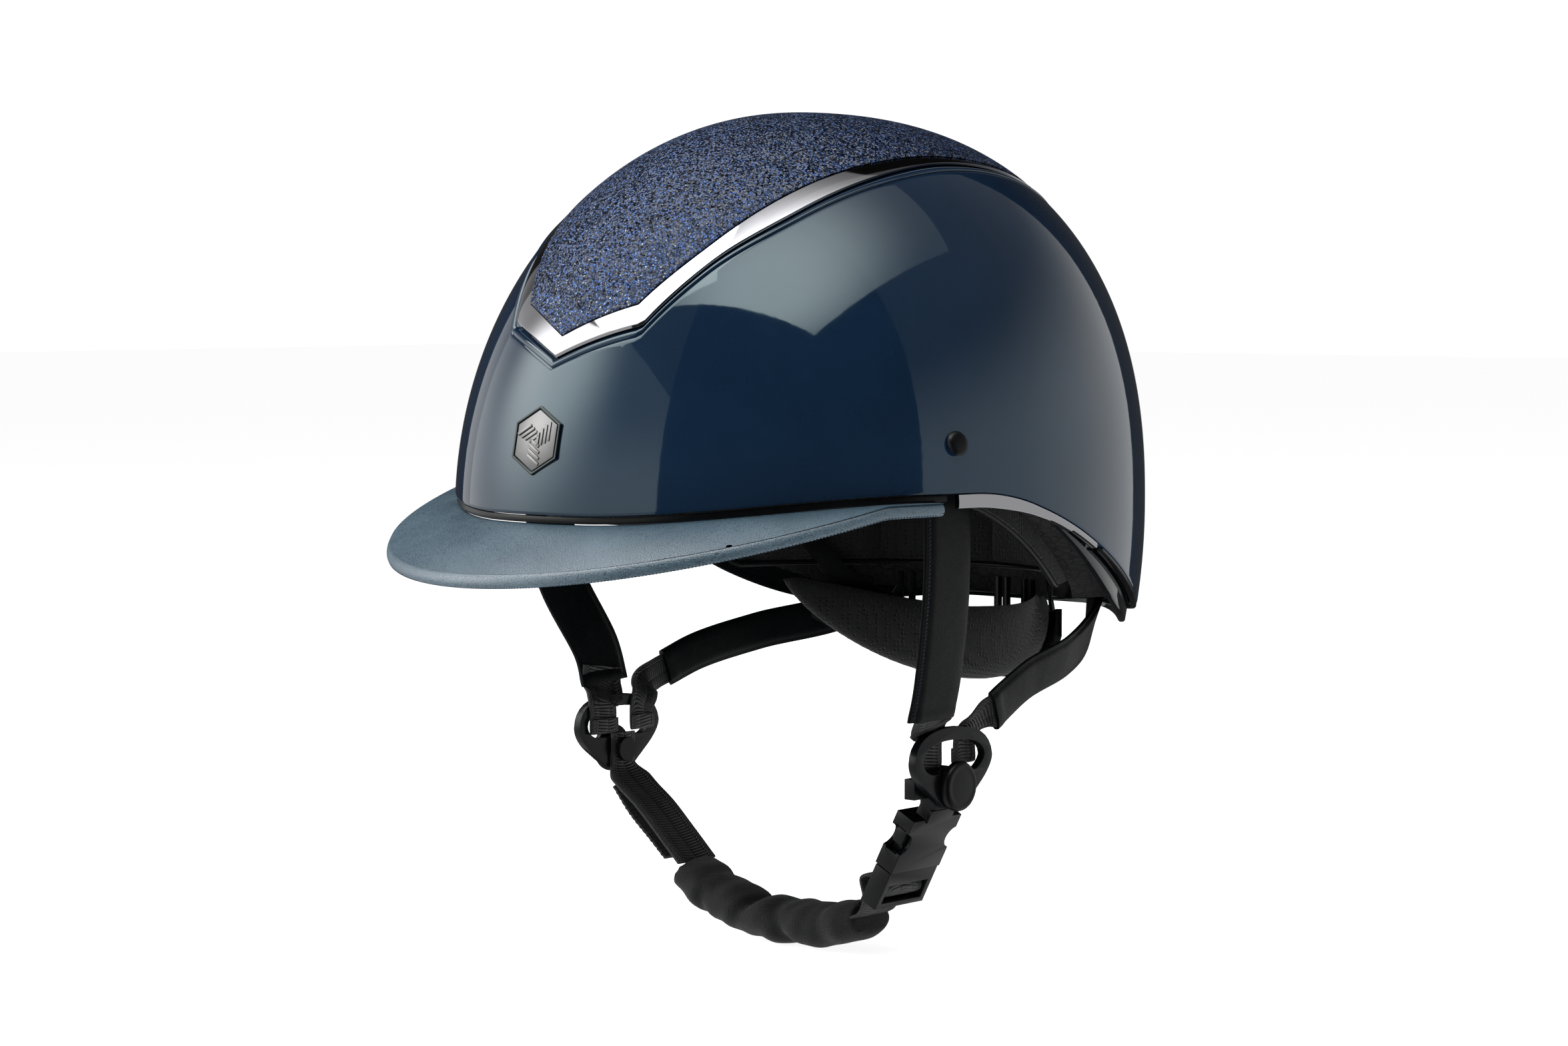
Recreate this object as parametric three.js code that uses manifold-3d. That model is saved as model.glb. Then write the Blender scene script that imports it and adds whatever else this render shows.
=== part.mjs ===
// Equestrian riding helmet, in millimetres.
// +X is the wearer's left, -Y the front and +Z up. The origin is the centre of the head opening.
import * as THREE from "three";
import { mergeVertices } from "three/addons/utils/BufferGeometryUtils.js";
import Module from "manifold-3d";

const wasm = await Module();
wasm.setup();

const { degToRad, lerp, smoothstep } = THREE.MathUtils;

// ---------------------------------------------------------------- driving dimensions

const GAP = 0.3; // clearance left between pieces that touch

const DOME = {
  halfWidth: 106, // outer half width at the brim level
  front: 134, // origin to the foremost point
  rear: 149.3, // origin to the rearmost point
  height: 138, // origin to the crown
  skirt: 174, // depth over which the skirt would close again
  plan: 1.955, // plan superellipse power
  frontPower: 1.965, // side profile power at the front
  rearPower: 2.407, // side profile power at the rear
};
const BUILD_UP = { side: 20, front: 30, rear: 35.3, top: 27 }; // shell and foam together
const CAVITY = {
  halfWidth: DOME.halfWidth - BUILD_UP.side,
  front: DOME.front - BUILD_UP.front,
  rear: DOME.rear - BUILD_UP.rear,
  height: DOME.height - BUILD_UP.top,
  skirt: Infinity,
  plan: 1.955,
  frontPower: 2.1,
  rearPower: 2.3,
};
const RIM = {
  front: 4, // rim height at the forehead
  ear: 10.4, // rim height over the ears
  nape: -40, // rim height at the nape
  riseFrom: 10,
  riseTo: 66,
  dropFrom: 76,
  dropTo: 142,
  lateDrop: 2.4,
};
const SHELL = { wall: 3, recess: 2 };
const DOME_COLUMNS = 48; // columns round every dome-shaped piece
const CUTTER = 4; // how far a cutting tool stands proud of what it cuts
const EDGING = { height: 2, frontEnd: 71, rearStart: 107, lap: 0.2 };
const EAR_TRIM = { start: 73, end: 105, height: 4.4, endHeight: 1.8, wall: 2, inset: 0.5 };
const LOWER_RIM = { wall: 2.6, height: 24, lobe: 9, lobeFrom: 84, lobeTo: 118, lobeFade: 165 };
const FOAM = {
  bottom: 3, // height of the foam's lower edge above the rim
  fit: 0.7, // clearance between the foam and what it sits against
};
const HEADBAND = { wall: 4, below: 4, lowest: -27, height: 33 };
const CROWN_PAD = { wall: 6, bottom: 84 };

// Panel and frame outlines: angle from the vertical in the symmetry plane, and half width.
const PANEL = {
  thickness: 1.4,
  frontTip: 62.6,
  rearTip: -56.5,
  side: [[56.5, 24.5], [43.2, 37.5], [24.1, 48.6], [3.3, 55], [-19, 52.4], [-37, 40], [-51.6, 18]],
};
const TIP_GROWTH = 0.315; // degrees that an outline's tip moves for each millimetre of margin
const TIP_WIDTH = 0.6; // half width left at a tip
const FRAME = {
  sink: 0.25,
  frontTip: 66,
  rearTip: -59.5,
  side: [
    [59.7, 28.6], [47.4, 40], [30.8, 52.7], [7.3, 59.4], [-18.5, 55.8], [-38, 43.5], [-53.8, 20.5],
  ],
};

const BADGE = {
  z: 28,
  width: 20,
  height: 23,
  bezel: 1, // width of the raised edge
  proud: 0.35, // how far that edge stands out of the shell
  floor: 0.4, // thickness behind the plate
  plate: 1.1,
  tilt: 12,
  depth: 1.5,
};
const RIVET = { y: -38, z: 26.7, capRadius: 4.1, capHeight: 1.1, shank: 1.8, lift: 0.75 };

const PEAK = {
  halfWidth: 102,
  centreY: -32,
  length: 135,
  lipZ: 5, // height of the lip where it crosses lipY
  lipY: -82,
  slope: 0.223,
  tuck: 1.5, // how far the root sits inside the shell's surface
  rootAngle: 69,
  lipAngle: 84,
  bulge: 3, // rise of the middle above the straight line, where the peak is deepest
  reach: 40,
  cover: 1.2,
  board: 1.8,
  lining: 0.9,
  binding: 2.2,
};

const STRAP = {
  web: 1.3, // webbing thickness
  leather: 3.4, // thickness of a sleeved strap
  frontWidth: 24,
  rearWidth: 14,
  frontLoop: 13,
  rearLoop: 9,
  frontFoot: { left: -27, right: -14 }, // fore-aft place of each front strap's foot
  frontLoopY: { left: -19.5, right: -16.5 },
};
const DIVIDER = { x: DOME.halfWidth - 28.9, thickness: 3, pivotY: -11, pivotZ: -90 };
const BUTTON = { radius: 8.5, cap: 3.4, shank: 2.3, flange: 4.4, flangeThickness: 1.4 };

const BUCKLE = {
  x: DIVIDER.x - 19, // mouth of the female half
  z: -118.5,
  lean: 27.6, // lean from the vertical, in degrees
  width: 26,
  thickness: 8,
  wall: 1.5,
  sideWall: 2,
  collar: 7,
  window: 9.5,
  body: 21,
  maleLength: 15,
  slotLow: -12.9, // the male half's webbing slot
  slotHigh: -5.7,
  maleThickness: 7,
  bar: 1.3,
  frame: 2.4, // width of the male half's sides
  guide: 2.2, // half width of its middle tongue
  neck: 6.5, // radius of the female half's pivot eye
  wing: 15, // half length of the crossbar at the eye
  notch: 4.2, // radius of the finger notches
};
const PRONG = { root: -3.2, width: 2.4, thickness: 4, barb: 0.6, pad: 5.5, padStart: 10 };
const CHIN = {
  web: 20,
  tab: 12,
  padWidth: 24,
  padThickness: 15.5,
  drawnFor: 77.1, // ring distance that the chin strap's points are drawn for
};

const NAPE = {
  halfWidth: CAVITY.halfWidth - 18,
  centreY: 28,
  reach: 66,
  padAngle: 60,
  padThickness: 12,
  padTop: -40,
  padBottom: -68,
  frameThickness: 2.2,
  frameAngle: 50,
  strutTop: -29.5,
  strutWidth: 2.2,
  struts: [8.5, 12, 20.5, 24], // places of the strut pairs, in degrees
};
const DIAL = { z: -55, radius: 11, depth: 7, teeth: 8, pitchRadius: 4, tooth: 1.05, screw: 1.6 };
const HOUSING = { halfWidth: 17, halfHeight: 12, wall: 1.5, channel: 6.4 };
const BAND = {
  height: 7,
  thickness: 1.3,
  pinX: CAVITY.halfWidth - 10.5,
  pinY: -18,
  pinZ: 6.5,
  eye: 2.8,
  pin: 1.2,
  drawnFor: 75.5, // pin distance that the bands' points are drawn for
};

// ---------------------------------------------------------------- colours

const FINISH = {
  navyGloss: [0x0d1c33, 0.12, 0],
  glitter: [0x14203c, 0.45, 0.3],
  chrome: [0xd8d8d8, 0.06, 1],
  gunmetal: [0x6f6f72, 0.3, 1],
  blackGloss: [0x08090b, 0.1, 0],
  blackPlastic: [0x121315, 0.45, 0],
  navyLeather: [0x16212f, 0.5, 0],
  blackLeather: [0x14171a, 0.5, 0],
  webbing: [0x0d0e10, 0.8, 0],
  mesh: [0x0b0b0d, 0.95, 0],
  foam: [0x1a1a1c, 0.9, 0],
  steel: [0x9a9a9c, 0.3, 1],
};

// ---------------------------------------------------------------- solids

const X_AXIS = new THREE.Vector3(1, 0, 0);
const Y_AXIS = new THREE.Vector3(0, 1, 0);
const point = (x, y, z) => new THREE.Vector3(x, y, z);
const signedPower = (value, power) => Math.sign(value) * Math.abs(value) ** power;
const SIDES = { left: 1, right: -1 };

const inOrder = (a, b) => [Math.min(a, b), Math.max(a, b)];

/** Turn a three.js geometry into a manifold solid. */
function solidOf(geometry) {
  const bare = geometry.clone();
  bare.deleteAttribute("normal");
  bare.deleteAttribute("uv");
  const merged = mergeVertices(bare, 1e-4);
  const index = merged.index.array;
  const kept = [];
  for (let i = 0; i < index.length; i += 3) {
    const [a, b, c] = [index[i], index[i + 1], index[i + 2]];
    if (a !== b && b !== c && c !== a) kept.push(a, b, c);
  }
  const vertProperties = new Float32Array(merged.attributes.position.array);
  const make = (triangles) => {
    const triVerts = new Uint32Array(triangles);
    return new wasm.Manifold(new wasm.Mesh({ numProp: 3, vertProperties, triVerts }));
  };
  const solid = make(kept);
  return solid.volume() >= 0 ? solid : make(kept.reverse());
}

/** Turn a manifold solid back into a three.js geometry. */
function geometryOf(solid) {
  const mesh = solid.getMesh();
  const geometry = new THREE.BufferGeometry();
  const positions = new Float32Array(mesh.numVert * 3);
  for (let i = 0; i < mesh.numVert; i++) {
    for (let k = 0; k < 3; k++) positions[3 * i + k] = mesh.vertProperties[mesh.numProp * i + k];
  }
  geometry.setAttribute("position", new THREE.BufferAttribute(positions, 3));
  geometry.setIndex(new THREE.BufferAttribute(new Uint32Array(mesh.triVerts), 1));
  geometry.computeVertexNormals();
  return geometry;
}

/** Skin a row of equal closed loops into a solid; capped ends unless it closes on itself. */
function loft(loops, closed = false) {
  const size = loops[0].length;
  const positions = loops.flat().flatMap((p) => [p.x, p.y, p.z]);
  const index = [];
  const at = (i, k) => (i % loops.length) * size + (k % size);
  const last = closed ? loops.length : loops.length - 1;
  for (let i = 0; i < last; i++) {
    for (let k = 0; k < size; k++) {
      index.push(at(i, k), at(i + 1, k), at(i + 1, k + 1));
      index.push(at(i, k), at(i + 1, k + 1), at(i, k + 1));
    }
  }
  if (!closed) {
    for (const [row, flip] of [[0, false], [loops.length - 1, true]]) {
      for (let k = 0; k < size / 2 - 1; k++) {
        const [a, b] = [at(row, k), at(row, k + 1)];
        const [c, d] = [at(row, size - 2 - k), at(row, size - 1 - k)];
        if (flip) index.push(a, c, b, a, d, c);
        else index.push(a, b, c, a, c, d);
      }
    }
  }
  const geometry = new THREE.BufferGeometry();
  geometry.setAttribute("position", new THREE.Float32BufferAttribute(positions, 3));
  geometry.setIndex(index);
  return solidOf(geometry);
}

/** A box between two corners. */
function box(low, high) {
  const size = high.map((value, i) => value - low[i]);
  const geometry = new THREE.BoxGeometry(...size);
  geometry.translate(...low.map((value, i) => value + size[i] / 2));
  return solidOf(geometry);
}

/** A cylinder from one point to another. */
function rod(from, to, radius, sides = 20) {
  const axis = to.clone().sub(from);
  const geometry = new THREE.CylinderGeometry(radius, radius, axis.length(), sides);
  const turn = new THREE.Quaternion().setFromUnitVectors(Y_AXIS, axis.clone().normalize());
  geometry.applyQuaternion(turn);
  const middle = from.clone().add(to).multiplyScalar(0.5);
  geometry.translate(middle.x, middle.y, middle.z);
  return solidOf(geometry);
}

/** A turned solid: its profile is [radius, height] pairs, its axis runs from a point along a way. */
function turned(profile, from, way, sides = 24) {
  const points = profile.map(([r, h]) => new THREE.Vector2(r, h));
  const geometry = new THREE.LatheGeometry(points, sides);
  geometry.applyQuaternion(new THREE.Quaternion().setFromUnitVectors(Y_AXIS, way));
  geometry.translate(from.x, from.y, from.z);
  return solidOf(geometry);
}

/** A flat strip along a smooth path; across(t, tangent) gives its width direction. */
function ribbon(path, across, width, thickness, steps = 14) {
  const curve = new THREE.CatmullRomCurve3(path, false, "centripetal");
  const widthAt = typeof width === "function" ? width : () => width;
  const loops = [];
  for (let i = 0; i <= steps; i++) {
    const t = i / steps;
    const centre = curve.getPointAt(t);
    const tangent = curve.getTangentAt(t);
    const side = across(t, tangent, centre);
    side.addScaledVector(tangent, -side.dot(tangent)).normalize();
    const face = new THREE.Vector3().crossVectors(side, tangent);
    const half = widthAt(t) / 2;
    const corner = (a, b) => {
      const edge = centre.clone().addScaledVector(side, a * half);
      return edge.addScaledVector(face, (b * thickness) / 2);
    };
    loops.push([corner(-1, -1), corner(1, -1), corner(1, 1), corner(-1, 1)]);
  }
  return loft(loops);
}

const alongY = () => Y_AXIS.clone();
const outwardFrom = (centreY) => (t, tangent, at) =>
  new THREE.Vector3().crossVectors(tangent, point(at.x, at.y - centreY, 0).normalize());

// ---------------------------------------------------------------- the dome's surface

/** Height of the shell's lower edge at an angle from the front, in degrees. */
function rimHeight(degrees) {
  const a = Math.abs(((degrees + 540) % 360) - 180);
  const drop = RIM.ear - RIM.nape - RIM.lateDrop;
  return (
    lerp(RIM.front, RIM.ear, smoothstep(a, RIM.riseFrom, RIM.riseTo)) -
    drop * smoothstep(a, RIM.dropFrom, RIM.dropTo) -
    RIM.lateDrop * smoothstep(a, 130, 180)
  );
}

/** The lower edge as the shell's straight facets draw it between its columns. */
function facetRim(degrees) {
  const step = 360 / DOME_COLUMNS;
  const start = Math.floor(degrees / step) * step;
  return lerp(rimHeight(start), rimHeight(start + step), (degrees - start) / step);
}

function domePower(dome, theta) {
  return lerp(dome.frontPower, dome.rearPower, (1 - Math.cos(theta)) / 2);
}

/** Share of the plan outline that is left at a height. */
function levelScale(dome, theta, z, inset) {
  if (z < 0) return Math.sqrt(1 - (z / dome.skirt) ** 2);
  const power = domePower(dome, theta);
  const share = Math.min(z / (dome.height - inset), 1);
  return (1 - share ** power) ** (1 / power);
}

/** Point on the dome at an angle and height, sunk below the surface by an inset. */
function domePoint(dome, degrees, z, inset) {
  const theta = degToRad(degrees);
  const length = (Math.cos(theta) > 0 ? dome.front : dome.rear) - inset;
  const scale = levelScale(dome, theta, z, inset);
  const x = signedPower(Math.sin(theta), 2 / dome.plan) * (dome.halfWidth - inset) * scale;
  const y = -signedPower(Math.cos(theta), 2 / dome.plan) * length * scale;
  return point(x, y, z);
}

/** Heights from the crown down to a lower edge, evenly spaced round the profile. */
function domeLevels(dome, degrees, bottom, inset, count) {
  const power = domePower(dome, degToRad(degrees));
  const height = dome.height - inset;
  const end = bottom >= 0 ? Math.acos((bottom / height) ** (power / 2)) : Math.PI / 2 - bottom / height;
  const levels = [];
  for (let i = 0; i <= count; i++) {
    const phi = (end * i) / count;
    if (phi <= Math.PI / 2) levels.push(height * Math.cos(phi) ** (2 / power));
    else levels.push(-height * (phi - Math.PI / 2));
  }
  levels[count] = bottom;
  return levels;
}

/** Points down the dome from the crown to a lower edge. */
function domeColumn(dome, degrees, bottom, inset, count) {
  return domeLevels(dome, degrees, bottom, inset, count).map((z) => domePoint(dome, degrees, z, inset));
}

/** Point on the shell's surface at a side distance x and an angle from the vertical. */
function crownPoint(x, degrees, inset) {
  const a = degToRad(degrees);
  let low = 0;
  let high = 220;
  for (let i = 0; i < 40; i++) {
    const reach = (low + high) / 2;
    const y = -reach * Math.sin(a);
    const z = reach * Math.cos(a);
    const across = (Math.abs(x) / (DOME.halfWidth - inset)) ** DOME.plan;
    const along = (Math.abs(y) / ((y < 0 ? DOME.front : DOME.rear) - inset)) ** DOME.plan;
    const theta = Math.acos(-Math.sign(y) * Math.sqrt(along / (across + along)));
    const plan = (across + along) ** (1 / DOME.plan);
    if (z < DOME.height - inset && plan < levelScale(DOME, theta, z, inset)) low = reach;
    else high = reach;
  }
  return point(x, -low * Math.sin(a), low * Math.cos(a));
}

/** Outline rows [angle, half width] from the front tip to the rear tip, grown by a margin. */
function outlineRows(outline, margin, steps = 22) {
  const grow = margin * TIP_GROWTH;
  const middle = outline.side.map(([a, w]) => new THREE.Vector2(a, w + margin));
  const curve = new THREE.SplineCurve(middle);
  const rows = [];
  for (let i = 0; i <= steps; i++) {
    const p = curve.getPoint(i / steps);
    rows.push([p.x, p.y]);
  }
  const halfway = ([a, w], tip) => [(tip + a) / 2, (w + TIP_WIDTH) / 2];
  const [front, rear] = [outline.frontTip + grow, outline.rearTip - grow];
  rows.unshift([front, TIP_WIDTH], halfway(rows[0], front));
  rows.push(halfway(rows.at(-1), rear), [rear, TIP_WIDTH]);
  return rows;
}

/** A curved slab that follows the crown inside an outline. */
function crownPatch(outline, margin, top, bottom, columns = 8) {
  const loops = outlineRows(outline, margin).map(([angle, half]) => {
    const across = Array.from({ length: columns + 1 }, (_, k) => lerp(-half, half, k / columns));
    const upper = across.map((x) => crownPoint(x, angle, top));
    const lower = across.map((x) => crownPoint(x, angle, bottom));
    return [...upper, ...lower.reverse()];
  });
  return loft(loops);
}

/** Solid between two stacks of dome levels all the way round. */
function domeShell(loopAt) {
  const loops = [];
  for (let i = 0; i < DOME_COLUMNS; i++) loops.push(loopAt((360 * i) / DOME_COLUMNS));
  return loft(loops, true);
}

// ---------------------------------------------------------------- shell pieces

const lowerRimInset = SHELL.wall + 1.5 * GAP;
const foamInset = lowerRimInset + LOWER_RIM.wall + FOAM.fit;
const foamUpperInset = SHELL.wall + FOAM.fit;
const lowerRimTop = (degrees) => lowerRimBottom(degrees) + LOWER_RIM.height;

/** The lower rim's edge hangs below the shell's edge in a lobe behind the ear. */
function lowerRimBottom(degrees) {
  const a = Math.abs(((degrees + 540) % 360) - 180);
  const grown = smoothstep(a, LOWER_RIM.lobeFrom, LOWER_RIM.lobeTo);
  const faded = smoothstep(a, LOWER_RIM.lobeTo, LOWER_RIM.lobeFade);
  const lobe = grown * (1 - 0.85 * faded);
  const clear = EDGING.height + 2 * GAP;
  return rimHeight(degrees) - lobe * LOWER_RIM.lobe + clear * (1 - lobe) * smoothstep(100 - a, 0, 20);
}

/** Upright hexagonal prism at the badge's place, between two depths along its outward way. */
function badgePrism(width, height, from, to) {
  const [w, h] = [width / 2, height / 2];
  const side = h - w / Math.sqrt(3);
  const corners = [[0, h], [-w, side], [-w, -side], [0, -h], [w, -side], [w, side]];
  const shape = new THREE.Shape(corners.map(([x, y]) => new THREE.Vector2(x, y)));
  const centre = domePoint(DOME, 0, BADGE.z, 0);
  const geometry = new THREE.ExtrudeGeometry(shape, { depth: to - from, bevelEnabled: false });
  geometry.translate(0, 0, from);
  geometry.rotateX(Math.PI / 2 - degToRad(BADGE.tilt));
  geometry.translate(centre.x, centre.y, centre.z);
  return solidOf(geometry);
}

/** A rivet's centre on the shell and its outward way. */
function rivetFrame(side) {
  const scale = levelScale(DOME, Math.PI / 2, RIVET.z, 0);
  const along = (Math.abs(RIVET.y) / (DOME.front * scale)) ** DOME.plan;
  const x = DOME.halfWidth * scale * (1 - along) ** (1 / DOME.plan);
  const way = point(side * 0.9, (RIVET.y / DOME.front) * 0.75, 0.3).normalize();
  return { centre: point(side * x, RIVET.y, RIVET.z), way };
}

/** Bore along a rivet, from outside the shell to inside the foam. */
function rivetShaft(side, radius) {
  const { centre, way } = rivetFrame(side);
  const at = (distance) => centre.clone().addScaledVector(way, distance);
  return rod(at(CUTTER), at(-3 * CUTTER), radius, 16);
}

function outerShell() {
  let solid = domeShell((a) => {
    const outer = domeColumn(DOME, a, rimHeight(a), 0, 13);
    const inner = domeColumn(DOME, a, rimHeight(a), SHELL.wall, 13);
    return [...outer, ...inner.reverse()];
  });
  solid = solid.subtract(crownPatch(FRAME, GAP, -CUTTER, SHELL.recess));
  const pocket = badgePrism(BADGE.width + 2 * GAP, BADGE.height + 2 * GAP, -BADGE.depth - GAP, CUTTER);
  solid = solid.subtract(pocket);
  for (const side of Object.values(SIDES)) {
    solid = solid.subtract(rivetShaft(side, RIVET.shank + GAP));
  }
  return solid;
}

const topPanel = () => crownPatch(PANEL, 0, 0, PANEL.thickness);

function topFrame() {
  const slab = crownPatch(FRAME, 0, FRAME.sink, PANEL.thickness);
  return slab.subtract(crownPatch(PANEL, GAP, -CUTTER, SHELL.recess + CUTTER));
}

function badgeBezel() {
  const outer = badgePrism(BADGE.width, BADGE.height, -BADGE.depth, BADGE.proud);
  const inset = 2 * BADGE.bezel;
  const floor = -BADGE.depth + BADGE.floor;
  return outer.subtract(badgePrism(BADGE.width - inset, BADGE.height - inset, floor, CUTTER));
}

function badgePlate() {
  const inset = 2 * (BADGE.bezel + GAP);
  const seat = -BADGE.depth + BADGE.floor + GAP;
  return badgePrism(BADGE.width - inset, BADGE.height - inset, seat, seat + BADGE.plate);
}

function rivet(side) {
  const { centre, way } = rivetFrame(side);
  const length = foamInset + RIVET.lift - GAP;
  const r = RIVET.capRadius;
  const profile = [
    [0, -length],
    [RIVET.shank, -length],
    [RIVET.shank, 0],
    [r, 0],
    [r * 0.86, RIVET.capHeight * 0.65],
    [r * 0.5, RIVET.capHeight * 0.95],
    [0, RIVET.capHeight],
  ];
  return turned(profile, centre.clone().addScaledVector(way, RIVET.lift), way, 20);
}

/** Thin band hung under the shell's lower edge between two angles. */
function rimBand(from, to, inset, wall, heightAt, steps) {
  const loops = [];
  for (let i = 0; i <= steps; i++) {
    const a = lerp(from, to, i / steps);
    const top = facetRim(a) - 1.3 * GAP;
    const bottom = top - heightAt(a);
    loops.push([
      domePoint(DOME, a, top, inset),
      domePoint(DOME, a, bottom, inset),
      domePoint(DOME, a, bottom, inset + wall),
      domePoint(DOME, a, top, inset + wall),
    ]);
  }
  return loft(loops);
}

function frontEdging() {
  return rimBand(-EDGING.frontEnd, EDGING.frontEnd, -EDGING.lap, SHELL.wall, () => EDGING.height, 24);
}

function rearEdging() {
  const wall = SHELL.wall - 2 * EDGING.lap;
  return rimBand(EDGING.rearStart, 360 - EDGING.rearStart, EDGING.lap, wall, () => EDGING.height / 2, 30);
}

function earTrim(side) {
  const height = (a) => lerp(EAR_TRIM.height, EAR_TRIM.endHeight, smoothstep(Math.abs(a), 84, EAR_TRIM.end));
  return rimBand(side * EAR_TRIM.start, side * EAR_TRIM.end, EAR_TRIM.inset, EAR_TRIM.wall, height, 12);
}

function lowerRim() {
  let solid = domeShell((a) => {
    const bottom = lowerRimBottom(a);
    const heights = [lowerRimTop(a), (lowerRimTop(a) + bottom) / 2, bottom];
    const outer = heights.map((z) => domePoint(DOME, a, z, lowerRimInset));
    const inner = heights.map((z) => domePoint(DOME, a, z, lowerRimInset + LOWER_RIM.wall));
    return [...outer, ...inner.reverse()];
  });
  for (const side of Object.values(SIDES)) {
    solid = solid.subtract(rivetShaft(side, RIVET.shank + GAP));
  }
  return solid;
}

function foamLiner() {
  let solid = domeShell((a) => {
    const step = lowerRimTop(a) + FOAM.fit;
    const bottom = rimHeight(a) + FOAM.bottom;
    const upper = domeColumn(DOME, a, step, foamUpperInset, 10);
    const lower = [step, (step + bottom) / 2, bottom].map((z) => domePoint(DOME, a, z, foamInset));
    const inner = domeColumn(CAVITY, a, bottom, 0, 9);
    return [...upper, ...lower, ...inner.reverse()];
  });
  for (const [name, side] of Object.entries(SIDES)) {
    solid = solid.subtract(frontSleeve(name, side, FOAM.fit + 0.1));
    solid = solid.subtract(rearSleeve(side, FOAM.fit + 0.1));
    solid = solid.subtract(rivetShaft(side, RIVET.capRadius));
  }
  return solid;
}

function headband() {
  return domeShell((a) => {
    const bottom = Math.max(rimHeight(a) - HEADBAND.below, HEADBAND.lowest);
    const heights = [bottom + HEADBAND.height, bottom + HEADBAND.height / 2, bottom];
    const outer = heights.map((z) => domePoint(CAVITY, a, z, FOAM.fit));
    const inner = heights.map((z) => domePoint(CAVITY, a, z, FOAM.fit + HEADBAND.wall));
    return [...outer, ...inner.reverse()];
  });
}

function crownPad() {
  return domeShell((a) => {
    const outer = domeColumn(CAVITY, a, CROWN_PAD.bottom, 2 * FOAM.fit, 5);
    const inner = domeColumn(CAVITY, a, CROWN_PAD.bottom, 2 * FOAM.fit + CROWN_PAD.wall, 5);
    return [...outer, ...inner.reverse()];
  });
}

// ---------------------------------------------------------------- peak

/** Point on the peak's top: s runs across it, t from the shell to the lip, sunk by a depth. */
function peakPoint(s, t, depth) {
  const root = domePoint(DOME, s * PEAK.rootAngle, 0, PEAK.tuck);
  root.z = rimHeight(s * PEAK.rootAngle) - EDGING.height - 2.5 * GAP;
  const angle = degToRad(s * PEAK.lipAngle);
  const lip = point(PEAK.halfWidth * Math.sin(angle), PEAK.centreY - PEAK.length * Math.cos(angle), 0);
  lip.z = Math.min(PEAK.lipZ + PEAK.slope * (lip.y - PEAK.lipY), root.z);
  const at = root.clone().lerp(lip, t);
  const reach = root.distanceTo(lip) / PEAK.reach;
  at.z += PEAK.bulge * reach * 2 * t * (1 - t) - depth;
  return at;
}

/** A layer of the peak between two depths, from one share of its reach to another. */
function peakLayer(from, to, top, bottom, steps = 5, columns = 28) {
  const loops = [];
  for (let i = 0; i <= columns; i++) {
    const s = lerp(-1, 1, i / columns);
    const shares = Array.from({ length: steps + 1 }, (_, k) => lerp(from, to, k / steps));
    const row = (depth) => shares.map((t) => peakPoint(s, t, depth));
    loops.push([...row(top), ...row(bottom).reverse()]);
  }
  return loft(loops);
}

const peakBoardTop = PEAK.cover + GAP;
const peakLiningTop = peakBoardTop + PEAK.board + GAP;
const peakBottom = peakLiningTop + PEAK.lining;
const peakCover = () => peakLayer(0, 0.97, 0, PEAK.cover);
const peakBoard = () => peakLayer(0, 0.965, peakBoardTop, peakBoardTop + PEAK.board);
const peakLining = () => peakLayer(0, 0.965, peakLiningTop, peakBottom);
const peakBinding = () => peakLayer(0.98, 1, 0.2, peakBottom, 1, 36);

// ---------------------------------------------------------------- harness

function frontSleeve(name, side, margin = 0) {
  const foot = STRAP.frontFoot[name];
  const inboard = (inset) => side * (DOME.halfWidth - inset);
  const path = [
    point(inboard(17.8), -32, 31 + margin),
    point(inboard(15), -32, 9),
    point(inboard(16), lerp(-32, foot, 0.2), -24),
    point(inboard(22.5), lerp(-32, foot, 0.94), -54),
    point(inboard(25.5), foot, -66),
  ];
  return ribbon(path, alongY, STRAP.frontWidth + margin, STRAP.leather + margin, 10);
}

function rearSleeve(side, margin = 0) {
  const inboard = (inset) => side * (DOME.halfWidth - inset);
  const path = [
    point(inboard(56), DOME.rear - 37.3, -14 + margin),
    point(inboard(55.5), DOME.rear - 40.3, -32),
    point(inboard(50), DOME.rear - 52.3, -44),
    point(inboard(34), 61, -52),
    point(inboard(29.5), 32, -57.6),
    point(inboard(27.4), 16.5, -63),
  ];
  return ribbon(path, outwardFrom(0), STRAP.rearWidth + margin, STRAP.leather + margin, 14);
}

/** Points of a loop that goes down the ring's outer face, under its bar and up its inner face. */
function ringLoop(side, y, bend, top) {
  const radius = DIVIDER.thickness / 2 + GAP + STRAP.web / 2 + 0.1;
  const points = [];
  for (let i = 0; i <= 8; i++) {
    const a = (Math.PI * i) / 8;
    points.push(point(side * (DIVIDER.x + radius * Math.cos(a)), y, bend - radius * Math.sin(a)));
  }
  points.push(point(side * (DIVIDER.x - radius), y, (bend + top) / 2));
  points.push(point(side * (DIVIDER.x - radius), y, top));
  return points;
}

function frontWeb(name, side) {
  const y = STRAP.frontLoopY[name];
  const bend = DIVIDER.pivotZ + 12;
  const path = [
    point(side * (DIVIDER.x + 3), lerp(STRAP.frontFoot[name], y, 0.5), -68.2),
    point(side * (DIVIDER.x + 2.8), lerp(STRAP.frontFoot[name], y, 0.5), -71),
    point(side * (DIVIDER.x + 2.6), y, -75.5),
    ...ringLoop(side, y, bend, -71),
  ];
  return ribbon(path, alongY, STRAP.frontLoop, STRAP.web, 26);
}

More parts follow.
